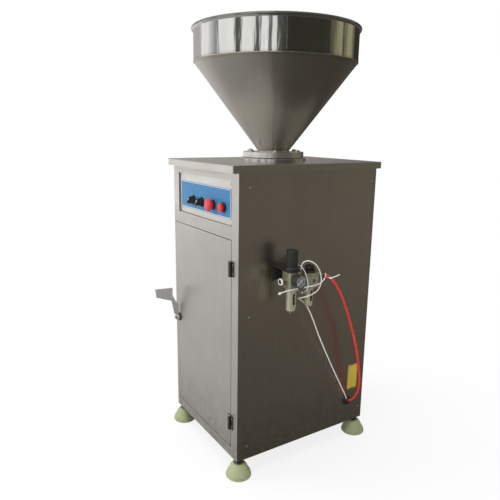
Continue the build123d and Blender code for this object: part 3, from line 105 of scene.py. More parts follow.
# Node helper for materials and node groups
class Tree:
    def __init__(self, tree):
        self.tree = tree

    def add(self, kind, **props):
        node = self.tree.nodes.new("ShaderNode" + kind)
        for key, value in props.items():
            setattr(node, key, value)
        return node

    def put(self, socket, value):
        if isinstance(value, bpy.types.NodeSocket):
            self.tree.links.new(value, socket)
        elif value is not None:
            if socket.type == "RGBA":
                value = (*value, 1) if isinstance(value, tuple) else (value, value, value, 1)
            socket.default_value = value

    def math(self, operation, a, b=None, clamp=False):
        node = self.add("Math", operation=operation, use_clamp=clamp)
        for socket, value in zip(node.inputs, (a, b)):
            self.put(socket, value)
        return node.outputs[0]

    def mix(self, factor, a, b, blend="MIX"):
        node = self.add("Mix", data_type="RGBA", blend_type=blend)
        self.put(node.inputs[0], factor)
        self.put(node.inputs[6], a)
        self.put(node.inputs[7], b)
        return node.outputs[2]

    def span(self, value, a, b, c, d):
        """value from a..b to c..d, held at both ends."""
        node = self.add("MapRange")
        for socket, v in zip(node.inputs, (value, a, b, c, d)):
            self.put(socket, v)
        return node.outputs[0]

    def ramp(self, value, stops):
        """Colours at places from 0 to 1, given in rising order."""
        node = self.add("ValToRGB")
        elements = node.color_ramp.elements
        elements.remove(elements[1])
        for i, (place, colour) in enumerate(stops):
            if i:
                element = elements.new(place)
            else:
                element = elements[0]
                element.position = place
            element.color = (*colour, 1)
        self.put(node.inputs[0], value)
        return node.outputs[0]

    def noise(self, vector, scale, detail=2.0, rough=0.5):
        node = self.add("TexNoise")
        self.put(node.inputs["Vector"], vector)
        self.put(node.inputs["Scale"], scale)
        self.put(node.inputs["Detail"], detail)
        self.put(node.inputs["Roughness"], rough)
        return node.outputs["Fac"]

    def scaled(self, vector, scale):
        node = self.add("VectorMath", operation="MULTIPLY")
        self.put(node.inputs[0], vector)
        self.put(node.inputs[1], scale)
        return node.outputs[0]

    def split(self, vector):
        node = self.add("SeparateXYZ")
        self.put(node.inputs[0], vector)
        return node.outputs

    def joined(self, x, y, z):
        node = self.add("CombineXYZ")
        for socket, v in zip(node.inputs, (x, y, z)):
            self.put(socket, v)
        return node.outputs[0]

    def place(self):
        return self.add("TexCoord").outputs["Object"]

    def group(self, tree, **inputs):
        node = self.add("Group", node_tree=tree)
        for key, value in inputs.items():
            self.put(node.inputs[key], value)
        return node.outputs

    def bump(self, height, strength, distance=0.001, normal=None):
        node = self.add("Bump")
        self.put(node.inputs["Height"], height)
        self.put(node.inputs["Strength"], strength)
        self.put(node.inputs["Distance"], distance)
        self.put(node.inputs["Normal"], normal)
        return node.outputs[0]


def new_group(name, inputs, outputs):
    tree = bpy.data.node_groups.new(name, "ShaderNodeTree")
    for key, kind, value in inputs:
        socket = tree.interface.new_socket(key, in_out="INPUT", socket_type="NodeSocket" + kind)
        if value is not None:
            socket.default_value = value
    for key, kind in outputs:
        tree.interface.new_socket(key, in_out="OUTPUT", socket_type="NodeSocket" + kind)
    return Tree(tree), tree.nodes.new("NodeGroupInput").outputs, tree.nodes.new("NodeGroupOutput").inputs


# Shared effects
def make_grain():
    """Fine brushed lines: the noise is stretched by Lines, small along the brushing."""
    t, i, o = new_group("Brushed grain", [("Vector", "Vector", None), ("Lines", "Vector", (4, 4, 700))],
                        [("Fine", "Float"), ("Broad", "Float")])
    fine = t.noise(t.scaled(i["Vector"], i["Lines"]), 1.0, 3.0, 0.65)
    broad = t.noise(t.scaled(i["Vector"], i["Lines"]), 0.05, 3.0, 0.55)
    t.put(o["Fine"], fine)
    t.put(o["Broad"], broad)
    return t.tree


def make_handling():
    """Soft smears and finger marks, and fine dust, from object coordinates."""
    t, i, o = new_group("Handling marks", [("Vector", "Vector", None)],
                        [("Smear", "Float"), ("Marks", "Float"), ("Dust", "Float")])
    smear = t.noise(i["Vector"], 5.0, 4.0, 0.55)
    marks = t.span(t.noise(i["Vector"], 34.0, 5.0, 0.6), 0.54, 0.74, 0.0, 1.0)
    zone = t.span(t.noise(i["Vector"], 3.1, 2.0, 0.5), 0.48, 0.62, 0.0, 1.0)
    dust = t.span(t.noise(i["Vector"], 420.0, 2.0, 0.5), 0.62, 0.75, 0.0, 1.0)
    t.put(o["Smear"], smear)
    t.put(o["Marks"], t.math("MULTIPLY", marks, zone))
    t.put(o["Dust"], dust)
    return t.tree


def make_worn_edge_highlight():
    """1 on an edge that hands and tools reach, broken up by noise; used for worn edges and as a painted edge
    highlight.
    """
    t, i, o = new_group("Worn edges and painted highlight", [("Vector", "Vector", None), ("Radius", "Float", 0.001)],
                        [("Mask", "Float")])
    bevel = t.add("Bevel", samples=3)
    t.put(bevel.inputs["Radius"], i["Radius"])
    dot = t.add("VectorMath", operation="DOT_PRODUCT")
    t.put(dot.inputs[0], bevel.outputs[0])
    t.put(dot.inputs[1], t.add("NewGeometry").outputs["Normal"])
    edge = t.span(dot.outputs["Value"], 0.995, 0.86, 0.0, 1.0)
    broken = t.span(t.noise(i["Vector"], 160.0, 3.0, 0.6), 0.38, 0.60, 0.25, 1.0)
    t.put(o["Mask"], t.math("MULTIPLY", edge, broken))
    return t.tree


def make_turned():
    """Lathe rings: Across is the distance from the axis, Along the place on it."""
    t, i, o = new_group("Lathe rings", [("Across", "Float", 0.0), ("Along", "Float", 0.0)],
                        [("Rings", "Float")])
    t.put(o["Rings"], t.noise(t.joined(i["Across"], i["Along"], 0.0), 900.0, 2.0, 0.6))
    return t.tree


def make_low_grime():
    """Grows from Top down to Bottom, in height, with an uneven edge."""
    t, i, o = new_group("Low grime", [("Vector", "Vector", None), ("Top", "Float", 0.2),
                                      ("Bottom", "Float", 0.0)], [("Mask", "Float")])
    height = t.math("ADD", t.split(i["Vector"])[2], t.span(t.noise(i["Vector"], 14.0, 4.0, 0.6),
                                                         0.3, 0.7, -0.05, 0.05))
    cover = t.span(height, i["Bottom"], i["Top"], 1.0, 0.0)
    patch = t.span(t.noise(i["Vector"], 60.0, 4.0, 0.6), 0.35, 0.65, 0.3, 1.0)
    t.put(o["Mask"], t.math("MULTIPLY", cover, patch))
    return t.tree


GRAIN = make_grain()
HANDLING = make_handling()
WORN_EDGE_HIGHLIGHT = make_worn_edge_highlight()
TURNED = make_turned()
LOW_GRIME = make_low_grime()


def new_material(name):
    m = bpy.data.materials.new(name)
    m.use_nodes = True
    m.node_tree.nodes.clear()
    t = Tree(m.node_tree)
    out = t.add("OutputMaterial")
    shader = t.add("BsdfPrincipled")
    m.node_tree.links.new(shader.outputs[0], out.inputs[0])
    return m, t, shader.inputs


def polar(t, place, x, y):
    """Distance from, and angle about, a vertical line at x, y."""
    parts = t.split(place)
    dx, dy = t.math("SUBTRACT", parts[0], x), t.math("SUBTRACT", parts[1], y)
    r = t.math("SQRT", t.math("ADD", t.math("MULTIPLY", dx, dx), t.math("MULTIPLY", dy, dy)))
    return r, t.math("ARCTAN2", dy, dx), parts[2]


def shade(colour, factor):
    return tuple(min(c * factor, 1) for c in colour)


# Steels
def sheet_steel(name, colour, rough, lines, grain=0.05, edge_wear_highlight=0.6, grime=0.5, metallic=1.0):
    m, t, s = new_material(name)
    place = t.place()
    g = t.group(GRAIN, Vector=place, Lines=lines)
    h = t.group(HANDLING, Vector=place)
    w = t.group(WORN_EDGE_HIGHLIGHT, Vector=place, Radius=0.0012)[0]
    low = t.group(LOW_GRIME, Vector=place, Top=0.24, Bottom=0.05)[0]
    tone = t.mix(t.span(g["Fine"], 0.3, 0.7, 0.0, 1.0), shade(colour, 0.92), shade(colour, 1.05))
    tone = t.mix(t.span(g["Broad"], 0.35, 0.70, 0.0, 0.6), tone, shade(colour, 0.90))
    tone = t.mix(t.span(h["Smear"], 0.35, 0.7, 0.0, 0.45), tone, shade(colour, 0.84))
    tone = t.mix(t.math("MULTIPLY", h["Marks"], 0.35), tone, shade(colour, 1.14))
    # Edges lighter: worn edges, and a painted highlight along every edge
    tone = t.mix(t.math("MULTIPLY", w, edge_wear_highlight), tone, shade(colour, 1.15))
    tone = t.mix(t.math("MULTIPLY", low, grime), tone, (0.20, 0.17, 0.13))
    t.put(s["Base Color"], tone)
    t.put(s["Metallic"], metallic)
    r = t.math("ADD", rough, t.span(g["Fine"], 0.2, 0.8, -0.04, 0.05))
    r = t.math("ADD", r, t.span(h["Smear"], 0.3, 0.7, -0.03, 0.06))
    r = t.math("ADD", r, t.math("MULTIPLY", h["Marks"], 0.10))
    r = t.math("SUBTRACT", r, t.math("MULTIPLY", w, 0.06))
    t.put(s["Roughness"], t.math("ADD", r, t.math("MULTIPLY", low, 0.25 * grime), clamp=True))
    warp = t.bump(h["Smear"], 0.25, 0.006)
    t.put(s["Normal"], t.bump(g["Fine"], grain, 0.0004, warp))
    return m


def turned_steel(name, colour, rough, axis, rings=0.16):
    """Steel off the lathe, about the line at axis = (x, y) or, level along X, (None, y, z)."""
    m, t, s = new_material(name)
    place = t.place()
    if axis[0] is None:
        parts = t.split(place)
        dy, dz = t.math("SUBTRACT", parts[1], axis[1]), t.math("SUBTRACT", parts[2], axis[2])
        r = t.math("SQRT", t.math("ADD", t.math("MULTIPLY", dy, dy), t.math("MULTIPLY", dz, dz)))
        along = parts[0]
    else:
        r, _, along = polar(t, place, *axis)
    ring = t.group(TURNED, Across=r, Along=along)[0]
    h = t.group(HANDLING, Vector=place)
    w = t.group(WORN_EDGE_HIGHLIGHT, Vector=place, Radius=0.0010)[0]
    tone = t.mix(t.span(ring, 0.3, 0.7, 0.0, 1.0), shade(colour, 0.86), colour)
    tone = t.mix(t.span(h["Smear"], 0.4, 0.7, 0.0, 0.3), tone, shade(colour, 0.8))
    # Edges lighter: worn edges and a painted edge highlight
    tone = t.mix(w, tone, shade(colour, 1.15))
    t.put(s["Base Color"], tone)
    t.put(s["Metallic"], 1.0)
    t.put(s["Roughness"], t.math("ADD", rough, t.span(ring, 0.2, 0.8, -0.04, 0.08), clamp=True))
    t.put(s["Normal"], t.bump(ring, rings, 0.0003))
    return m


def hopper_steel():
    """Polished band, satin cone with rolling marks, weld tint at the seams, turned flange; painted shade on
    the rim top and a painted highlight on the edges.
    """
    m, t, s = new_material("Hopper steel")
    place = t.place()
    r, angle, z = polar(t, place, CX, CY)
    h = t.group(HANDLING, Vector=place)
    w = t.group(WORN_EDGE_HIGHLIGHT, Vector=place, Radius=0.0015)[0]
    seam, neck, top = BAND_Z / 1000, FLANGE_TOP / 1000, RIM_Z / 1000
    band = t.span(z, seam - 0.0005, seam + 0.0015, 0.0, 1.0)
    flange = t.span(z, neck + 0.0010, neck + 0.0005, 0.0, 1.0)
    around = t.math("MULTIPLY", angle, 0.25)
    rolled = t.noise(t.joined(around, 0.0, t.math("MULTIPLY", z, 0.15)), 26.0, 3.0)
    fine = t.noise(t.joined(around, 0.0, t.math("MULTIPLY", z, 0.02)), 900.0, 2.0, 0.6)
    ring = t.group(TURNED, Across=r, Along=z)[0]
    base = t.mix(t.span(fine, 0.3, 0.7, 0.0, 1.0), (0.60, 0.575, 0.53), (0.67, 0.645, 0.60))
    base = t.mix(t.span(h["Smear"], 0.35, 0.7, 0.0, 0.5), base, (0.50, 0.47, 0.42))
    polish = t.mix(t.span(rolled, 0.35, 0.65, 0.0, 1.0), (0.70, 0.70, 0.68), (0.80, 0.80, 0.78))
    base = t.mix(band, base, polish)
    off_seam = t.span(t.math("ABSOLUTE", t.math("SUBTRACT", z, seam + 0.0002)), 0.001, 0.009, 0.0, 1.0)
    base = t.mix(t.math("MULTIPLY", t.math("SUBTRACT", 1.0, off_seam), 0.40), base, (0.38, 0.31, 0.22))
    foot = t.span(z, neck + 0.0005, neck + 0.0200, 1.0, 0.0)
    base = t.mix(t.math("MULTIPLY", foot, 0.6), base, (0.42, 0.30, 0.20))
    base = t.mix(flange, base, (0.74, 0.73, 0.71))
    # Edges lighter: worn edges and a painted edge highlight
    base = t.mix(t.math("MULTIPLY", w, 0.6), base, (0.82, 0.81, 0.79))
    # Painted shade: the top of the rolled rim is darkened all round
    rim = t.span(z, top - 0.0030, top - 0.0015, 0.0, 0.8)
    base = t.mix(rim, base, (0.15, 0.15, 0.14))
    t.put(s["Base Color"], base)
    t.put(s["Metallic"], 1.0)
    rough = t.mix(band, t.math("ADD", 0.33, t.span(h["Smear"], 0.3, 0.7, -0.05, 0.08)),
                  t.math("ADD", 0.08, t.math("MULTIPLY", h["Marks"], 0.10)))
    rough = t.mix(flange, rough, 0.20)
    t.put(s["Roughness"], t.math("ADD", rough, t.span(fine, 0.2, 0.8, -0.02, 0.04), clamp=True))
    wave = t.bump(rolled, 0.30, 0.004)
    lines = t.bump(fine, 0.05, 0.0004, wave)
    t.put(s["Normal"], t.bump(t.math("MULTIPLY", ring, flange), 0.15, 0.0003, lines))
    return m


def cast_metal(name, colour, rough, metallic=1.0, grainy=0.35):
    m, t, s = new_material(name)
    place = t.place()
    cast = t.noise(place, 900.0, 3.0, 0.6)
    h = t.group(HANDLING, Vector=place)
    w = t.group(WORN_EDGE_HIGHLIGHT, Vector=place, Radius=0.0008)[0]
    tone = t.mix(t.span(cast, 0.3, 0.7, 0.0, 1.0), shade(colour, 0.84), colour)
    tone = t.mix(t.span(h["Smear"], 0.4, 0.7, 0.0, 0.35), tone, shade(colour, 0.72))
    # Edges lighter: worn edges and a painted edge highlight
    tone = t.mix(t.math("MULTIPLY", w, 0.8), tone, shade(colour, 1.3))
    t.put(s["Base Color"], tone)
    t.put(s["Metallic"], metallic)
    t.put(s["Roughness"], t.math("ADD", rough, t.span(cast, 0.2, 0.8, -0.05, 0.08), clamp=True))
    t.put(s["Normal"], t.bump(cast, grainy, 0.0002))
    return m


def plastic(name, colour, rough, coat=0.0, texture=700.0, depth=0.25, through=0.0):
    """Moulded plastic with a spark texture, brighter at its edges from rubbing and from a painted edge
    highlight.
    """
    m, t, s = new_material(name)
    place = t.place()
    skin = t.noise(place, texture, 2.0, 0.5)
    h = t.group(HANDLING, Vector=place)
    w = t.group(WORN_EDGE_HIGHLIGHT, Vector=place, Radius=0.0007)[0]
    tone = t.mix(t.span(h["Smear"], 0.35, 0.7, 0.0, 0.5), colour, shade(colour, 0.84))
    # Edges lighter: rubbed wear and a painted edge highlight
    tone = t.mix(t.math("MULTIPLY", w, 0.5), tone, tuple(min(c * 1.35 + 0.03, 1) for c in colour))
    tone = t.mix(t.math("MULTIPLY", h["Dust"], 0.10), tone, (0.55, 0.53, 0.48))
    t.put(s["Base Color"], tone)
    t.put(s["Roughness"], t.math("ADD", rough, t.span(skin, 0.3, 0.7, -0.04, 0.06), clamp=True))
    t.put(s["Coat Weight"], coat)
    t.put(s["Coat Roughness"], 0.08)
    if through:
        t.put(s["Subsurface Weight"], through)
        t.put(s["Subsurface Radius"], (0.004, 0.004, 0.003))
    t.put(s["Normal"], t.bump(skin, depth, 0.00012))
    return m


def clear_plastic(name, colour, rough=0.06):
    m, t, s = new_material(name)
    h = t.group(HANDLING, Vector=t.place())
    t.put(s["Base Color"], t.mix(t.span(h["Smear"], 0.4, 0.7, 0.0, 0.4), colour, shade(colour, 0.8)))
    t.put(s["Roughness"], t.math("ADD", rough, t.math("MULTIPLY", h["Marks"], 0.12)))
    t.put(s["Transmission Weight"], 0.92)
    t.put(s["IOR"], 1.45)
    return m


def foot_rubber():
    """Pale green rubber pad below, threaded steel stem and black nut above it."""
    m, t, s = new_material("Foot rubber and stem")
    place = t.place()
    z = t.split(place)[2]
    h = t.group(HANDLING, Vector=place)
    low = t.group(LOW_GRIME, Vector=place, Top=0.030, Bottom=0.0)[0]
    skin = t.noise(place, 240.0, 4.0, 0.6)
    stem = t.span(z, PAD_TOP / 1000 - 0.0002, PAD_TOP / 1000 + 0.0004, 0.0, 1.0)
    tone = t.mix(t.span(h["Smear"], 0.3, 0.7, 0.0, 1.0), (0.32, 0.36, 0.19), (0.38, 0.42, 0.24))
    tone = t.mix(t.math("MULTIPLY", low, 0.5), tone, (0.30, 0.32, 0.19))
    tone = t.mix(stem, tone, (0.06, 0.055, 0.05))
    t.put(s["Base Color"], tone)
    t.put(s["Metallic"], t.math("MULTIPLY", stem, 0.8))
    rough = t.span(skin, 0.3, 0.7, 0.42, 0.58)
    t.put(s["Roughness"], t.math("SUBTRACT", rough, t.math("MULTIPLY", stem, 0.12)))
    thread = t.math("SINE", t.math("MULTIPLY", z, 2 * math.pi * 1000 / THREAD_PITCH))
    ridges = t.bump(t.math("MULTIPLY", thread, stem), 0.6, 0.0004)
    t.put(s["Normal"], t.bump(skin, 0.25, 0.0004, ridges))
    t.put(s["Subsurface Weight"], 0.08)
    t.put(s["Subsurface Radius"], (0.006, 0.006, 0.004))
    return m


def weld_steel():
    """Ripples of a bright weld with straw and brown heat tint."""
    m, t, s = new_material("Weld bead")
    place = t.place()
    tint = t.noise(place, 60.0, 3.0, 0.6)
    ripple = t.noise(place, 700.0, 2.0, 0.5)
    tone = t.mix(t.span(tint, 0.35, 0.65, 0.0, 1.0), (0.62, 0.60, 0.55), (0.46, 0.38, 0.27))
    t.put(s["Base Color"], t.mix(t.span(ripple, 0.4, 0.6, 0.0, 0.4), tone, (0.70, 0.69, 0.66)))
    t.put(s["Metallic"], 1.0)
    t.put(s["Roughness"], t.span(ripple, 0.3, 0.7, 0.22, 0.40))
    t.put(s["Normal"], t.bump(ripple, 0.3, 0.0003))
    return m


def print_ink(name, colour):
    """Printed or filled marks, a little worn."""
    m, t, s = new_material(name)
    place = t.place()
    worn = t.noise(place, 500.0, 3.0, 0.6)
    t.put(s["Base Color"], t.mix(t.span(worn, 0.45, 0.75, 0.0, 0.5), colour, shade(colour, 0.7)))
    t.put(s["Roughness"], t.span(worn, 0.3, 0.7, 0.40, 0.55))
    t.put(s["Normal"], t.bump(worn, 0.1, 0.0001))
    return m


BLACK = plastic("Black plastic", (0.022, 0.022, 0.022), 0.38)
BOLT = cast_metal("Bolt steel", (0.66, 0.65, 0.62), 0.22, grainy=0.12)
BRASS = cast_metal("Plated brass", (0.62, 0.56, 0.40), 0.24, grainy=0.10)
GUARD = cast_metal("Guard die cast", (0.60, 0.585, 0.44), 0.26, metallic=0.5)
UNIT = cast_metal("Unit die cast", (0.43, 0.43, 0.30), 0.24, metallic=0.6)
NYLON = plastic("Nylon white", (0.80, 0.78, 0.76), 0.28, coat=0.2, through=0.1)
RECESS = plastic("Recess shadow", (0.016, 0.015, 0.014), 0.6)
WHITE_INK = print_ink("White ink", (0.80, 0.80, 0.78))
WELD = weld_steel()
RUBBER = foot_rubber()


def paint_nodes():
    upright, level = (1500, 1500, 14), (14, 1500, 1500)
    front = sheet_steel("Front steel", (0.62, 0.605, 0.575), 0.38, upright, metallic=0.92)
    side = sheet_steel("Side steel", (0.635, 0.585, 0.53), 0.30, upright)
    top = sheet_steel("Top steel", (0.66, 0.64, 0.60), 0.30, level, grime=0.0)
    tube = sheet_steel("Frame steel", (0.52, 0.51, 0.50), 0.38, upright, edge_wear_highlight=0.4)
    panel = sheet_steel("Panel steel", (0.70, 0.685, 0.65), 0.36, level, grime=0.0, metallic=0.9)
    # Painted light: the lever has a lighter, less metallic copy of the sheet steel, so it reads bright where
    # it faces the dark side
    lever = sheet_steel("Lever steel with painted light", (0.80, 0.79, 0.77), 0.46, upright, grime=0.0, metallic=0.65)
    # Painted shade: the hinges have a dark copy of the sheet steel, standing for the dark reflections on
    # their barrels
    dark = sheet_steel("Hinge steel with painted shade", (0.22, 0.21, 0.20), 0.34, upright)
    turned = turned_steel("Flange steel", (0.74, 0.73, 0.71), 0.16, (CX, CY))
    outlet = turned_steel("Outlet steel", (0.70, 0.69, 0.67), 0.20, (None, CY, OUTLET_Z / 1000))
    rods = turned_steel("Rod steel", (0.76, 0.76, 0.77), 0.10, (CX, CY), rings=0.05)
    gear = cast_metal("Gear steel", (0.44, 0.44, 0.45), 0.34)
    alu = cast_metal("Plain aluminium", (0.66, 0.67, 0.68), 0.38)
    looks = {
        "front_fascia": front, "door_panel": front, "top_cover": top, "control_plate": panel,
        "left_side_panel": side, "right_side_panel": side, "rear_cover": side, "base_plate": side,
        "cabinet_frame": tube, "door_catch": tube, "unit_bracket": BLACK, "knee_lever": lever,
        "hopper": hopper_steel(), "base_ring": turned, "valve_housing": turned, "valve_covers": turned,
        "valve_plug": turned, "dosing_cylinder": turned, "outlet_pipe": outlet, "filling_nozzle": outlet,
        "union_nut": outlet, "valve_pinion": gear, "valve_rack": gear, "rack_guide": alu,
        "flange_bolts": BOLT, "sheet_screws": BOLT, "door_hinge_leaves": dark, "hinge_pin_leaves": dark,
        "piston_rod": rods, "tie_rods": rods, "air_cylinder": alu, "rack_cylinder": alu,
        "dosing_piston": plastic("White piston plastic", (0.80, 0.79, 0.74), 0.4),
        "throat_gasket": plastic("Gasket rubber", (0.62, 0.60, 0.54), 0.55),
        "cable_grommet": plastic("Grommet rubber", (0.018, 0.018, 0.018), 0.6),
        "face_plate": plastic("Blue face film", (0.030, 0.185, 0.42), 0.42),
        "switch_bodies": BLACK, "selector_knob_left": BLACK, "selector_knob_right": BLACK,
        "knee_switch": BLACK, "regulator_knob": BLACK, "regulator_bonnet": BLACK,
        "stop_button": plastic("Stop red", (0.66, 0.035, 0.05), 0.34, coat=0.15),
        "start_button": plastic("Start red", (0.58, 0.018, 0.018), 0.32, coat=0.15),
        "regulator_body": UNIT, "lubricator_body": UNIT, "bowl_guards": GUARD,
        # Painted shade: the clear bowls are tinted dark, standing for the shade inside the bowl guards
        "clear_bowls": clear_plastic("Clear bowl with painted shade", (0.22, 0.24, 0.13)),
        "sight_dome": clear_plastic("Sight dome", (0.10, 0.10, 0.09)),
        "air_fittings": BRASS,
        "gauge_case": plastic("Gauge case", (0.035, 0.034, 0.042), 0.30),
        "gauge_needle": print_ink("Needle paint", (0.78, 0.77, 0.74)),
        "control_box": plastic("Grey box plastic", (0.42, 0.43, 0.44), 0.5),
        "solenoid_valves": cast_metal("Valve block", (0.40, 0.41, 0.42), 0.4),
    }
    for name, obj in nodes.items():
        look = RUBBER if name.startswith("foot_") else looks.get(name)
        if look:
            obj.data.materials.clear()
            obj.data.materials.append(look)


# Mesh helpers: shapes are drawn in millimetres about a local frame, then set in place
def link(obj):
    bpy.context.scene.collection.objects.link(obj)
    return obj


def finished(obj, look, body="cabinet"):
    obj.data.materials.append(look)
    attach(obj, body)
    return obj


def from_bmesh(name, bm):
    data = bpy.data.meshes.new(name)
    bmesh.ops.recalc_face_normals(bm, faces=bm.faces)
    bm.to_mesh(data)
    bm.free()
    for face in data.polygons:
        face.use_smooth = True
    data.set_sharp_from_angle(angle=math.radians(35))
    return link(bpy.data.objects.new(name, data))


def made(name, bm, look, body="cabinet"):
    return finished(from_bmesh(name, bm), look, body)


def frame_at(origin, normal=(0, 0, 1), up=(0, 1, 0)):
    """Local millimetres to the row frame: z along normal, y along up, x to the viewer's right."""
    z = Vector(normal).normalized()
    x = Vector(up).cross(z).normalized()
    turn = Matrix((x, z.cross(x), z)).transposed().to_4x4()
    return Matrix.Translation(at(*origin)) @ turn @ Matrix.Scale(0.001, 4)


UP = (0, 0, 1)
FRONT, BACK, RIGHT, LEFT = (0, -1, 0), (0, 1, 0), (1, 0, 0), (-1, 0, 0)


def raised(place, height):
    """The same local frame, moved out along its z."""
    return place @ Matrix.Translation((0, 0, height))


def lathe(bm, place, outline, steps=48, wave=None):
    """Turn a closed (radius, height) outline about the local z axis. wave(i) scales a step's radii."""
    rings = []
    for i in range(steps):
        a = 2 * math.pi * i / steps
        k = wave(i) if wave else 1.0
        rings.append([bm.verts.new(place @ Vector((r * k * math.cos(a), r * k * math.sin(a), h)))
                      for r, h in outline])
    for i, ring in enumerate(rings):
        other = rings[(i + 1) % steps]
        for j in range(len(outline)):
            k = (j + 1) % len(outline)
            bm.faces.new((ring[j], other[j], other[k], ring[k]))


def slab(bm, place, outline, z0, z1):
    """A flat plate with the (x, y) outline, from z0 to z1."""
    low = [bm.verts.new(place @ Vector((x, y, z0))) for x, y in outline]
    high = [bm.verts.new(place @ Vector((x, y, z1))) for x, y in outline]
    bm.faces.new(low[::-1])
    bm.faces.new(high)
    for i in range(len(outline)):
        j = (i + 1) % len(outline)
        bm.faces.new((low[i], low[j], high[j], high[i]))


def rounded(w, h, r, x=0.0, y=0.0, steps=5):
    """Outline of a rectangle w by h about x, y, with corners of radius r."""
    points = []
    for k, (sx, sy) in enumerate(((1, 1), (-1, 1), (-1, -1), (1, -1))):
        for i in range(steps + 1):
            a = math.radians(90 * (k + i / steps))
            points.append((x + sx * (w / 2 - r) + r * math.cos(a), y + sy * (h / 2 - r) + r * math.sin(a)))
    return points


def turned_outline(points, angle):
    c, s = math.cos(math.radians(angle)), math.sin(math.radians(angle))
    return [(x * c - y * s, x * s + y * c) for x, y in points]


def border(bm, place, w, h, r, line, z0, z1):
    """A rectangular line frame, flat."""
    outer, inner = rounded(w, h, r), rounded(w - 2 * line, h - 2 * line, max(r - line, 0.2))
    loops = [[bm.verts.new(place @ Vector((x, y, z))) for x, y in loop]
             for loop, z in ((outer, z0), (outer, z1), (inner, z1), (inner, z0))]
    for a, b in zip(loops, loops[1:] + loops[:1]):
        for i in range(len(outer)):
            j = (i + 1) % len(outer)
            bm.faces.new((a[i], a[j], b[j], b[i]))


def domed(bm, place, r, height, edge=0.5, steps=32):
    """A low round head with a softened rim."""
    lathe(bm, place, [(0.02, 0), (r, 0), (r, height - edge), (r - edge, height - 0.15 * edge),
                      (0.5 * r, height + 0.10 * r), (0.02, height + 0.13 * r)], steps)


# A near-black cross on a screw head: painted shadow of its recess
def cross_recess(bm, place, size):
    for angle in (0, 90):
        slab(bm, place, turned_outline(rounded(size, 0.24 * size, 0.1 * size, steps=2), angle), -0.05, 0.06)


def smooth_line(points, steps=6, closed=False):
    """A smooth line through the points, in Catmull-Rom spans."""
    p = [Vector(q) for q in points]
    n = len(p)
    line = []
    for i in range(n if closed else n - 1):
        if closed:
            a, b, c, d = (p[(i + k) % n] for k in (-1, 0, 1, 2))
        else:
            a, b, c, d = p[max(i - 1, 0)], p[i], p[i + 1], p[min(i + 2, n - 1)]
        for k in range(steps):
            u = k / steps
            line.append(0.5 * (2 * b + (c - a) * u + (2 * a - 5 * b + 4 * c - d) * u * u
                               + (3 * b - a - 3 * c + d) * u ** 3))
    if not closed:
        line.append(p[-1])
    return line


def strap(bm, line, outward, across, deep, closed=False):
    """A flat nylon strap along the line: its broad side faces outward(point), in millimetres."""
    n = len(line)
    sections = []
    for i, point in enumerate(line):
        if closed:
            along = line[(i + 1) % n] - line[i - 1]
        else:
            along = line[min(i + 1, n - 1)] - line[max(i - 1, 0)]
        along.normalize()
        out = outward(point)
        out = (out - along * out.dot(along)).normalized()
        side = along.cross(out)
        sections.append([bm.verts.new(at(*(point + side * (across / 2 * u) + out * (deep / 2 * v))))
                         for u, v in ((-1, -0.6), (-0.8, -1), (0.8, -1), (1, -0.6),
                                      (1, 0.6), (0.8, 1), (-0.8, 1), (-1, 0.6))])
    for i in range(n if closed else n - 1):
        a, b = sections[i], sections[(i + 1) % n]
        for j in range(8):
            k = (j + 1) % 8
            bm.faces.new((a[j], a[k], b[k], b[j]))
    if not closed:
        bm.faces.new(sections[0][::-1])
        bm.faces.new(sections[-1])


def numerals(bm, place, text, size, x, y, z):
    """Plain figures, centred at x, y, standing z above the plane."""
    curve = bpy.data.curves.new("figures", "FONT")
    curve.body = text
    curve.size = size
    curve.extrude = 0.05
    curve.align_x, curve.align_y = "CENTER", "CENTER"
    obj = link(bpy.data.objects.new("figures", curve))
    mesh = bpy.data.meshes.new_from_object(obj.evaluated_get(bpy.context.evaluated_depsgraph_get()))
    mesh.transform(place @ Matrix.Translation((x, y, z)))
    bm.from_mesh(mesh)
    bpy.data.objects.remove(obj)
    bpy.data.curves.remove(curve)
    bpy.data.meshes.remove(mesh)


# Hose and tube, with the part's own routes
HOSE_ROUTE = [
    (258, -17, 603), (258, 4, 603), (257.5, 24, 594), (256.5, 44, 576), (255, 64, 551),
    (252, 90, 509), (250, 119, 447), (249, 144, 382), (249, 163, 322), (249, 176, 262),
    (247, 184, 212), (239, 185, 176), (225, 181, 150), (208, 178.5, 136.5), (193, 178.5, 133),
    (179, 178.5, 132.5),
]
PILOT_ROUTE = [
    (258, -80, 616), (258, -80, 634), (258.5, -76, 647), (260.5, -62, 652), (263.5, -46, 648),
    (266.5, -32, 637), (269, -21, 619), (270.5, -16, 599), (272, -18, 580), (275, -30, 566),
    (277.5, -48, 560), (277, -66, 556), (271.5, -80, 552), (259, -86, 548), (246, -80, 543),
    (237, -66, 536), (233.5, -50, 526), (233, -36, 511), (231, -20, 488), (226, 0, 453),
    (221, 22, 410), (217, 50, 358), (214, 80, 304), (212, 110, 250), (211, 137, 203),
    (210, 157, 168), (209, 168, 148), (201, 171, 140.5), (190, 171, 139), (179, 171, 138.5),
]


def cord_curve(name, points, radius):
    data = bpy.data.curves.new(name, "CURVE")
    data.dimensions = "3D"
    data.bevel_depth = radius
    data.bevel_resolution = 6
    data.resolution_u = 10
    data.use_fill_caps = True
    spline = data.splines.new("NURBS")
    spline.points.add(len(points) - 1)
    for point, place in zip(spline.points, points):
        point.co = (*at(*place), 1)
    spline.order_u = 3
    spline.use_endpoint_u = True
    return link(bpy.data.objects.new(name, data))


def make_cords():
    soft = {"texture": 200.0, "depth": 0.06, "through": 0.15}
    red = plastic("Red hose", (0.74, 0.050, 0.035), 0.22, coat=0.4, **soft)
    white = plastic("White tube", (0.80, 0.77, 0.74), 0.25, coat=0.3, **soft)
    hose = cord_curve("air_hose_red", HOSE_ROUTE, 0.004)
    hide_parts("red_hose")
    finished(hose, red)
    tube = cord_curve("pilot_tube_white", PILOT_ROUTE, 0.002)
    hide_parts("pilot_tube")
    finished(tube, white)


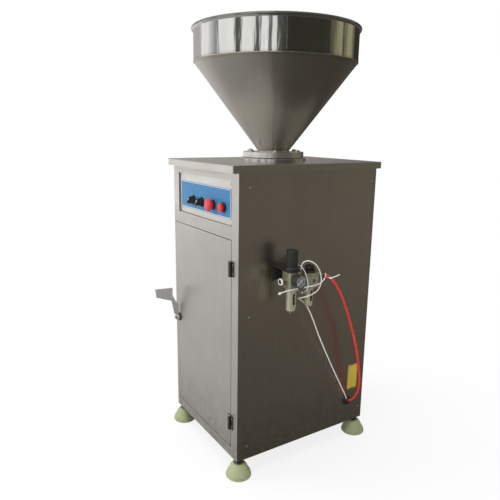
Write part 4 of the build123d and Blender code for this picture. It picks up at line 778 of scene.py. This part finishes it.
# Hopper: weld beads, band seam, washers and crowned bolt heads
def make_hopper_pieces():
    bm = bmesh.new()
    steps = 720
    lathe(bm, frame_at((0, 0, BAND_Z)),
          [(BAND_R - 0.6, -1.6), (BAND_R + 0.35, -1.0), (BAND_R + 0.65, 0.2), (BAND_R + 0.30, 1.3),
           (BAND_R - 0.6, 1.6)],
          steps, lambda i: 1 + 0.0007 * math.sin(2 * math.pi * i / 4) * random.uniform(0.6, 1.0))
    made("hopper_seam_weld", bm, WELD)
    bm = bmesh.new()
    lathe(bm, frame_at((0, 0, FLANGE_TOP)),
          [(NECK_R - 1.0, -0.2), (NECK_R + 3.2, -0.1), (NECK_R + 2.2, 1.4), (NECK_R + 1.6, 3.4),
           (NECK_R, 2.2)],
          180, lambda i: 1 + 0.004 * math.sin(2 * math.pi * i / 5))
    made("hopper_foot_weld", bm, WELD)
    turn = math.radians(-28.5)
    out = (math.cos(turn), math.sin(turn), 0)
    place = frame_at((BAND_R * out[0], BAND_R * out[1], (BAND_Z + RIM_Z) / 2), out, UP)
    bm = bmesh.new()
    slab(bm, place, rounded(2.6, RIM_Z - BAND_Z - 13, 0.8), -0.4, 0.28)
    made("hopper_band_seam", bm, WELD)
    washers, crowns = bmesh.new(), bmesh.new()
    for k in range(6):
        a = math.radians(30 + 60 * k)
        spot = frame_at((BOLT_CIRCLE_R * math.cos(a), BOLT_CIRCLE_R * math.sin(a), FLANGE_TOP))
        lathe(washers, spot, [(7.7, 0), (10.2, 0), (10.2, 1.1), (9.8, 1.4), (7.7, 1.4)], 40)
        lathe(crowns, raised(spot, 5.5), [(0.02, 0), (6.1, 0), (5.6, 0.4), (0.02, 0.5)], 36)
    made("bolt_washers", washers, BOLT)
    made("bolt_crowns", crowns, BOLT)


# Control panel: face border, figures and ticks by the selectors, pointer lines, screw recesses
def make_panel_pieces():
    face = frame_at((0, FACE_FRONT, FACE_Z), FRONT, UP)
    bm = bmesh.new()
    border(bm, face, FACE_W - 3.0, FACE_H - 3.0, 2.4, 1.7, -0.05, 0.10)
    for x in SELECTOR_XS:
        spot = frame_at((x, FACE_FRONT, SWITCH_Z), FRONT, UP)
        for angle, figure in ((45, "0"), (-45, "1")):
            a = math.radians(angle)
            tick = [(-0.5, TICK_FROM), (0.5, TICK_FROM), (0.5, TICK_TO), (-0.5, TICK_TO)]
            slab(bm, spot, turned_outline(tick, -angle), -0.05, 0.10)
            numerals(bm, spot, figure, 6.0, FIGURE_R * math.sin(a), FIGURE_R * math.cos(a), 0.05)
    made("face_print", bm, WHITE_INK)
    for name, x in zip(("selector_left", "selector_right"), SELECTOR_XS):
        bm = bmesh.new()
        grip = frame_at((x, GRIP_FRONT, SWITCH_Z), FRONT, (1, 0, 1))
        slab(bm, grip, rounded(1.7, 8.0, 0.7, y=5.6), -0.2, 0.12)
        made(name + "_pointer", bm, WHITE_INK, name)
    bm = bmesh.new()
    for x in (-PANEL_SCREW_X, PANEL_SCREW_X):
        for z in (PANEL_Z - PANEL_SCREW_DZ, PANEL_Z + PANEL_SCREW_DZ):
            cross_recess(bm, frame_at((x, PLATE_FRONT - SCREW_HEAD, z), FRONT, (x, 0, z)), 3.4)
    for z in SHEET_SCREW_ZS:
        for y in SIDE_SCREW_YS:
            cross_recess(bm, frame_at((HALF_W + SCREW_HEAD, y, z), RIGHT, (0, y, z)), 3.4)
            cross_recess(bm, frame_at((-HALF_W - SCREW_HEAD, y, z), LEFT, (0, y, z)), 3.4)
        for x in (-REAR_SCREW_X, REAR_SCREW_X):
            cross_recess(bm, frame_at((x, HALF_D + SCREW_HEAD, z), BACK, (x, 0, z)), 3.4)
    made("screw_recesses", bm, RECESS)


# Hinges, lever screw and feet
def make_door_pieces():
    fixed, moving, heads = bmesh.new(), bmesh.new(), bmesh.new()
    for z in HINGE_ZS:
        for side in (-1, 1):
            spot = frame_at((HINGE_X, HINGE_Y, z + side * HINGE_H / 2), (0, 0, side))
            domed(heads, spot, 3.6, 1.2)
            for bm, out in ((fixed, LEAF_SCREW_DX), (moving, -LEAF_SCREW_DX)):
                leaf = frame_at((HINGE_X + out, LEAF_FRONT, z + LEAF_SCREW_DZ * side), FRONT, UP)
                domed(bm, leaf, 2.4, 0.5, 0.3)
    made("hinge_pin_heads", heads, BOLT)
    made("hinge_screws_fixed", fixed, BOLT)
    made("hinge_screws_door", moving, BOLT, "door")
    bm = bmesh.new()
    lathe(bm, frame_at((LEVER_X, LEVER_FRONT, LEVER_Z), FRONT, UP),
          [(0.02, 0), (7.4, 0), (7.4, 0.9), (4.6, 1.0), (4.6, 3.2), (4.0, 3.8), (0.02, 4.0)], 36)
    made("lever_screw", bm, BOLT, "knee_lever")


def make_foot_rims():
    for row, y in (("front", -FOOT_Y), ("back", FOOT_Y)):
        for side, x in (("left", -FOOT_X), ("right", FOOT_X)):
            bm = bmesh.new()
            lathe(bm, frame_at((x, y, 0)),
                  [(FOOT_R - 2, 1.2), (FOOT_R + 0.3, 1.6), (FOOT_R + 1.0, 3.4), (FOOT_R + 0.7, 5.6),
                   (FOOT_R - 0.6, 7.2), (FOOT_R - 2, 7.4)], 72)
            for r, z in ((15.4, 41.2), (24.5, 31.6)):
                lathe(bm, frame_at((x, y, z)),
                      [(r - 1.6, -0.9), (r + 0.7, -0.6), (r + 0.5, 0.5), (r - 1.6, 0.7)], 60)
            made(f"foot_{row}_{side}_rim", bm, RUBBER, f"foot_{row}_{side}")


# Pressure gauge: dial, ticks and figures, lens and rim
def make_gauge_pieces():
    dial = frame_at((DIAL_X, REG_Y, GAUGE_Z), RIGHT, UP)
    bm = bmesh.new()
    lathe(bm, dial, [(1.5, -0.05), (16.35, -0.05), (16.35, 0.35), (1.5, 0.35)], 64)
    made("gauge_dial", bm, print_ink("Dial black", (0.030, 0.030, 0.034)))
    bm = bmesh.new()
    for k in range(DIAL_STEPS + 1):
        turn = DIAL_START + DIAL_SWEEP * k / DIAL_STEPS
        major = k % 5 == 0
        r0, w = (12.2, 0.34) if major else (13.7, 0.16)
        slab(bm, dial, turned_outline([(-w, r0), (w, r0), (w, 15.3), (-w, 15.3)], -turn), 0.35, 0.50)
        if k % 10 == 0:
            a = math.radians(turn)
            numerals(bm, dial, str(k // 5), 3.4, 9.4 * math.sin(a), 9.4 * math.cos(a), 0.42)
    made("gauge_marks", bm, print_ink("Dial ink", (0.36, 0.35, 0.40)))
    bm = bmesh.new()
    lathe(bm, dial, [(0.02, 4.4), (16.4, 4.2), (16.4, 5.2), (11.0, 5.8), (0.02, 6.1)], 64)
    made("gauge_lens", bm, clear_plastic("Gauge lens", (0.92, 0.93, 0.92), 0.03))
    bm = bmesh.new()
    lathe(bm, dial, [(16.4, 5.0), (17.3, 5.9), (18.0, 6.25), (18.7, 5.7), (18.8, 3.0), (18.4, 2.4),
                     (18.4, 1.0)], 72)
    made("gauge_rim", bm, plastic("Rim black", (0.030, 0.030, 0.036), 0.22, coat=0.3))
    bm = bmesh.new()
    domed(bm, raised(dial, 2.15), 2.3, 0.7, 0.3)
    made("gauge_hub", bm, BRASS, "gauge_needle")


# Air unit: rings, port bosses, screws, collets, oil, dome cap and knob cap
def knurled(i):
    return 1.0 if i % 4 < 2 else 0.965


def make_unit_pieces():
    collars = bmesh.new()
    for y, z, r in ((REG_Y, REG_LOW, 14.0), (LUB_Y, LUB_LOW, 11.5)):
        lathe(collars, frame_at((UNIT_X, y, z - 6.0)),
              [(r + 0.05, 0), (r + 2.0, 0), (r + 2.6, 0.8), (r + 2.6, 5.0), (r + 1.9, 5.9), (r + 0.05, 5.9)],
              96, knurled)
    made("bowl_collars", collars, GUARD)
    bosses, screws, slots = bmesh.new(), bmesh.new(), bmesh.new()
    for y, low, top in ((REG_Y, REG_LOW, REG_TOP), (LUB_Y, LUB_LOW, LUB_TOP)):
        middle = (low + top) / 2
        for dy in (-UNIT_SCREW_DY, UNIT_SCREW_DY):
            for dz in (-1, 1):
                z = middle + dz * (top - low) * 0.36
                spot = frame_at((UNIT_FRONT - 1.2, y + dy, z), RIGHT, UP)
                domed(screws, spot, 2.5, 1.9, 0.5, 24)
                cross_recess(slots, raised(spot, 2.2), 2.6)
    plug = frame_at((UNIT_FRONT, LUB_Y, UNIT_Z - 6), RIGHT, UP)
    lathe(bosses, plug, [(0.02, -0.5), (10.5, -0.5), (10.5, 1.2), (9.8, 1.8), (6.2, 1.8), (5.8, 0.9),
                         (0.02, 0.9)], 48)
    neck = frame_at((UNIT_FRONT, REG_Y, GAUGE_Z), RIGHT, UP)
    lathe(bosses, neck, [(5.1, -0.5), (10.0, -0.5), (10.0, 1.4), (9.0, 2.6), (5.1, 2.6)], 48)
    for y, low, top in ((REG_Y, REG_LOW, REG_TOP), (LUB_Y, LUB_LOW, LUB_TOP)):
        for z in (top - 3.2, low + 4.0):
            rib = frame_at((UNIT_FRONT - 0.3, y, z), RIGHT, UP)
            slab(bosses, rib, rounded(33, 1.4, 0.5), -0.4, 0.7)
    made("unit_bosses", bosses, UNIT)
    made("unit_screws", screws, BOLT)
    made("unit_screw_recesses", slots, RECESS)
    bm = bmesh.new()
    lathe(bm, raised(plug, 0.9), [(0.02, -0.2), (5.4, -0.2), (5.4, 1.2), (0.02, 1.5)], 6)
    drain = frame_at((UNIT_X, LUB_Y, LUB_LOW - DRAIN_DROP))
    lathe(bm, drain, [(8.6, 0), (9.3, 0.3), (9.3, 1.6), (8.6, 1.9)], 40)
    made("port_plug", bm, BRASS)
    bm = bmesh.new()
    lathe(bm, frame_at((UNIT_X, INLET_Y, UNIT_Z), FRONT, UP),
          [(5.9, -2.0), (5.9, 0.6), (6.6, 1.2), (8.4, 1.2), (9.3, 0.4), (9.4, -3.2), (9.05, -3.2),
           (9.05, -2.0)], 56)
    made("inlet_rim", bm, NYLON)
    collets = bmesh.new()
    lathe(collets, frame_at((UNIT_X, COLLET_Y, UNIT_Z), BACK, UP),
          [(4.3, -3.0), (4.3, 2.4), (5.0, 3.0), (7.4, 2.8), (7.6, 1.8), (5.6, 1.2), (5.6, -0.1),
           (6.9, -0.1), (6.9, -0.4), (5.0, -0.4), (5.0, -3.0)], 48)
    lathe(collets, frame_at((UNIT_X, PILOT_Y, PILOT_Z)),
          [(2.3, -2.0), (2.3, 1.8), (2.8, 2.3), (4.6, 2.1), (4.8, 1.3), (3.4, 0.8), (3.4, 0.1), (2.8, 0.1),
           (2.8, -2.0)], 40)
    made("push_in_collets", collets, BLACK)
    bm = bmesh.new()
    lathe(bm, frame_at((UNIT_X, LUB_Y, OIL_LOW)),
          [(0.02, 0), (8.1, 0), (8.1, 27.6), (7.5, 27.0), (0.02, 26.8)], 48)
    made("bowl_oil", bm, clear_plastic("Oil", (0.74, 0.60, 0.18), 0.05))
    bm = bmesh.new()
    lathe(bm, frame_at((UNIT_X, LUB_Y, LUB_TOP)),
          [(14.55, 0.0), (17.0, 0.0), (17.2, 1.0), (17.0, 4.4), (16.0, 5.4), (14.55, 5.4)], 96, knurled)
    domed(bm, frame_at((UNIT_X, LUB_Y, LUB_TOP + DOME_H)), 4.2, 1.6)
    made("dome_ring", bm, BLACK)
    bm = bmesh.new()
    top = frame_at((UNIT_X, REG_Y, KNOB_TOP))
    lathe(bm, top, [(0.02, -0.6), (11.2, -0.6), (11.2, 0.2), (10.4, 0.8), (8.8, 0.8), (8.2, 0.2),
                    (0.02, 0.1)], 56)
    slab(bm, top, rounded(1.6, 6.0, 0.6, y=5.0), 0.0, 0.9)
    made("knob_cap", bm, BLACK, "regulator_knob")


# Nylon ties round the unit and the hose
def make_ties():
    across = [(279.3, -166, 579), (279.2, -148, 581.5), (278.9, -128, 583.0), (278.8, -100, 583.6),
              (278.8, -66, 583.2), (278.7, -44, 583.6), (277.0, -26, 586.0), (272.5, -10, 591.0),
              (267.0, 2, 597.5)]
    centre = Vector((258, 8, 601.0))
    turns = []
    for k in range(8):
        a = math.radians(-20 + 45 * k)
        turns.append((258 + 5.3 * math.cos(a), 5 + 1.3 * k, 601.6 - 0.5 * k + 5.3 * math.sin(a)))
    tail = [(266.0, 20, 592.5), (268.5, 34, 594.0), (270.5, 52, 598.5)]
    line = smooth_line(across + turns + tail)

    def outward(point):
        near_hose = -2 < point.y < 17
        return Vector((point.x - centre.x, 0, point.z - centre.z)) if near_hose else Vector((1, 0, 0.15))

    bm = bmesh.new()
    strap(bm, line, outward, 3.4, 1.1)
    slab(bm, frame_at((279.3, -164, 579.2), RIGHT, (0, -0.15, 1)), rounded(9.0, 5.4, 1.0), -1.2, 2.2)
    slab(bm, frame_at((267.2, 21, 592.4), (1, 0, 0.2), (0, 0.3, 1)), rounded(6.4, 5.4, 1.0), -1.6, 2.4)
    made("cable_tie_long", bm, NYLON)
    loop = [(258, -89.6, 642.6), (266, -87, 641.0), (274, -84, 634), (280.5, -80.5, 621), (283.5, -77, 606),
            (284, -74.5, 592), (282, -74, 579), (276, -76, 569.5), (266, -79, 565.5), (254, -82, 566.5),
            (243.5, -83, 574), (237.5, -83, 588), (236.5, -85, 606), (240, -88, 624), (248, -89.5, 637.5)]
    bm = bmesh.new()
    strap(bm, smooth_line(loop, closed=True),
          lambda point: Vector((point.x - UNIT_X, 0, point.z - UNIT_Z)), 2.4, 1.0, True)
    slab(bm, frame_at((266.0, -79, 564.6), (0.2, 0, -1), (0, 1, 0)), rounded(4.4, 5.0, 0.8), -1.0, 2.0)
    made("cable_tie_loop", bm, NYLON)


# Plain sticker where the panel has one, inner fittings of the control box and the valves
def make_sticker():
    bm = bmesh.new()
    plate = frame_at((HALF_W, STICKER_Y, STICKER_Z), RIGHT, UP)
    slab(bm, plate, rounded(STICKER_W, STICKER_H, 2.0), -0.02, 0.16)
    made("side_sticker", bm, print_ink("Sticker yellow", (0.62, 0.47, 0.055)))
    bm = bmesh.new()
    border(bm, raised(plate, 0.16), STICKER_W - 4, STICKER_H - 4, 1.4, 0.9, -0.05, 0.04)
    made("side_sticker_line", bm, print_ink("Sticker line", (0.05, 0.045, 0.03)))


def make_inner_pieces():
    lid, slots = bmesh.new(), bmesh.new()
    for y in (LID_Y - LID_SCREW_DY, LID_Y + LID_SCREW_DY):
        for z in (LID_Z - LID_SCREW_DZ, LID_Z + LID_SCREW_DZ):
            spot = frame_at((LID_X, y, z), RIGHT, UP)
            domed(lid, spot, 3.6, 1.2)
            cross_recess(slots, raised(spot, 1.6), 3.6)
    made("box_lid_screws", lid, BOLT)
    made("box_screw_recesses", slots, RECESS)
    bm = bmesh.new()
    slab(bm, frame_at((LID_X, LID_Y, LID_Z), RIGHT, UP), rounded(LID_W, LID_H, 4), -0.2, 0.9)
    made("box_lid_face", bm, plastic("Lid grey", (0.47, 0.48, 0.49), 0.46))
    plugs, screws = bmesh.new(), bmesh.new()
    for y in COIL_YS:
        spot = frame_at((COIL_X, y, COIL_Z), LEFT, UP)
        slab(plugs, spot, rounded(18, 20, 2.4), -0.3, 8.0)
        slab(plugs, spot, rounded(13, 14, 2.0), 8.0, 10.5)
        domed(screws, raised(spot, 10.5), 2.6, 1.0, 0.4, 24)
    made("coil_plugs", plugs, BLACK)
    made("coil_plug_screws", screws, BOLT)
    bm = bmesh.new()
    for z in PORT_ZS:
        spot = frame_at((PORT_X, 0, z), RIGHT, UP)
        lathe(bm, spot, [(2.0, 0), (7.6, 0), (7.6, 6.0), (7.0, 6.6), (4.6, 6.6), (4.6, 12.0),
                         (2.0, 12.0)], 6)
        lathe(bm, spot, [(2.0, 6.6), (5.6, 6.6), (5.6, 13.0), (4.9, 13.6), (2.0, 13.6)], 36)
    made("cylinder_ports", bm, BRASS)


# Floor, light and what the steel reflects
def make_floor():
    bm = bmesh.new()
    bmesh.ops.create_grid(bm, x_segments=1, y_segments=1, size=6.0)
    floor = from_bmesh("floor", bm)
    floor.visible_glossy = False
    m = bpy.data.materials.new("Floor white")
    m.use_nodes = True
    m.node_tree.nodes.clear()
    t = Tree(m.node_tree)
    diffuse = t.add("BsdfDiffuse")
    speck = t.noise(t.place(), 30.0, 2.0, 0.5)
    t.put(diffuse.inputs["Color"], t.mix(speck, (0.86, 0.86, 0.86), (0.90, 0.90, 0.90)))
    glow = t.add("Emission")
    t.put(glow.inputs["Color"], (1.0, 1.0, 1.0))
    t.put(glow.inputs["Strength"], 1.0)
    away = t.span(polar(t, t.place(), CX, CY)[0], 0.45, 1.3, 0.82, 1.0)
    seen = t.math("MULTIPLY", t.add("LightPath").outputs["Is Camera Ray"], away)
    both = t.add("MixShader")
    t.put(both.inputs[0], seen)
    t.tree.links.new(diffuse.outputs[0], both.inputs[1])
    t.tree.links.new(glow.outputs[0], both.inputs[2])
    out = t.add("OutputMaterial")
    t.tree.links.new(both.outputs[0], out.inputs[0])
    floor.data.materials.append(m)


def around_room(bands):
    """Degrees away from the camera's own direction, and the light there, as stops from 0 to 1."""
    return [(0.5 + degrees / 360, colour) for degrees, colour in bands]


def make_world():
    """White to the camera. To the steel: bright strips to the left of the camera, dark to its right."""
    world = bpy.data.worlds.new("Studio")
    bpy.context.scene.world = world
    world.use_nodes = True
    world.node_tree.nodes.clear()
    t = Tree(world.node_tree)
    x, y, z = t.split(t.add("TexCoord").outputs["Generated"])
    camera_turn = math.radians(-32.6)
    angle = t.math("SUBTRACT", t.math("ARCTAN2", y, x), camera_turn)
    turns = t.math("FRACT", t.math("ADD", t.math("DIVIDE", angle, 2 * math.pi), 0.5))
    white, grey, mid = (0.95, 0.95, 0.93), (0.24, 0.24, 0.24), (0.085, 0.085, 0.08)
    pale, dark, olive = (0.50, 0.47, 0.48), (0.035, 0.034, 0.026), (0.34, 0.32, 0.20)
    back = (0.40, 0.385, 0.37)
    walls = t.ramp(turns, around_room([
        (-180, back), (-150, pale), (-126, pale), (-122, white), (-108, white), (-88, grey),
        (-84, white), (-60, white), (-57, mid), (-50, mid), (-47, white), (-32, white), (-30, mid),
        (-23, mid), (-21, white), (-13, white), (-11, mid), (-7, mid), (-5, white), (-1, white), (1, mid),
        (12, dark), (68, dark), (80, (0.10, 0.09, 0.06)), (90, olive), (95, olive), (101, dark),
        (108, olive), (120, olive), (130, dark), (160, dark), (179, back)]))
    rear, bright, pale_floor = (0.42, 0.40, 0.38), (1.0, 0.98, 0.96), (0.92, 0.91, 0.89)
    ground = t.ramp(turns, around_room([
        (-180, rear), (-150, bright), (-132, bright), (-118, pale_floor), (-96, pale_floor),
        (-60, (0.96, 0.95, 0.92)), (-25, (0.44, 0.425, 0.40)), (10, (0.20, 0.185, 0.165)),
        (40, (0.175, 0.162, 0.138)), (90, (0.195, 0.180, 0.152)), (130, (0.11, 0.10, 0.085)),
        (170, (0.12, 0.11, 0.10)), (179, rear)]))
    low = t.span(z, -0.60, -0.05, 0.36, 1.0)
    ground = t.mix(1.0, ground, t.joined(low, low, low), "MULTIPLY")
    colour = t.mix(t.span(z, -0.03, 0.04, 0.0, 1.0), ground, walls)
    lit, half, shaded = (0.88, 0.88, 0.87), (0.62, 0.62, 0.61), (0.32, 0.31, 0.30)
    overhead = t.ramp(turns, around_room([
        (-180, half), (-150, lit), (-10, lit), (30, shaded), (150, shaded), (179, half)]))
    colour = t.mix(t.span(z, 0.28, 0.9, 0.0, 1.0), colour, overhead)
    room = t.add("Background")
    t.put(room.inputs["Color"], colour)
    t.put(room.inputs["Strength"], 1.0)
    paper = t.add("Background")
    t.put(paper.inputs["Color"], (1.0, 1.0, 1.0))
    both = t.add("MixShader")
    path = t.add("LightPath").outputs
    t.put(both.inputs[0], t.math("MAXIMUM", path["Is Camera Ray"], path["Is Transmission Ray"]))
    t.tree.links.new(room.outputs[0], both.inputs[1])
    t.tree.links.new(paper.outputs[0], both.inputs[2])
    out = t.add("OutputWorld")
    t.tree.links.new(both.outputs[0], out.inputs[0])


def lamp(name, place, aim, size, power, glossy=False):
    data = bpy.data.lights.new(name, "AREA")
    data.shape = "RECTANGLE"
    data.size, data.size_y = size
    data.energy = power
    obj = link(bpy.data.objects.new(name, data))
    obj.location = place
    obj.rotation_euler = (Vector(aim) - Vector(place)).to_track_quat("-Z", "Y").to_euler()
    obj.visible_camera = False
    obj.visible_glossy = glossy
    return obj


def make_lamps():
    lamp("key_lamp", (-1.6, -2.6, 2.4), (0, 0, 0.7), (1.6, 1.6), 56)
    lamp("top_lamp", (0.4, -0.4, 3.4), (0, 0, 0.6), (2.4, 2.4), 50)
    lamp("side_lamp", (3.0, -0.4, 1.6), (0, 0, 0.6), (1.4, 1.8), 20)
    lamp("back_lamp", (-0.8, 3.0, 2.0), (0, 0, 0.7), (1.8, 1.4), 22)
    lamp("left_lamp", (-1.86, -1.13, 0.59), (-0.08, -0.2145, 0.50), (0.14, 0.14), 0.5, glossy=True)


make_cords()
paint_nodes()
make_hopper_pieces()
make_panel_pieces()
make_door_pieces()
make_foot_rims()
make_gauge_pieces()
make_unit_pieces()
make_ties()
make_sticker()
make_inner_pieces()
make_floor()
make_world()
make_lamps()
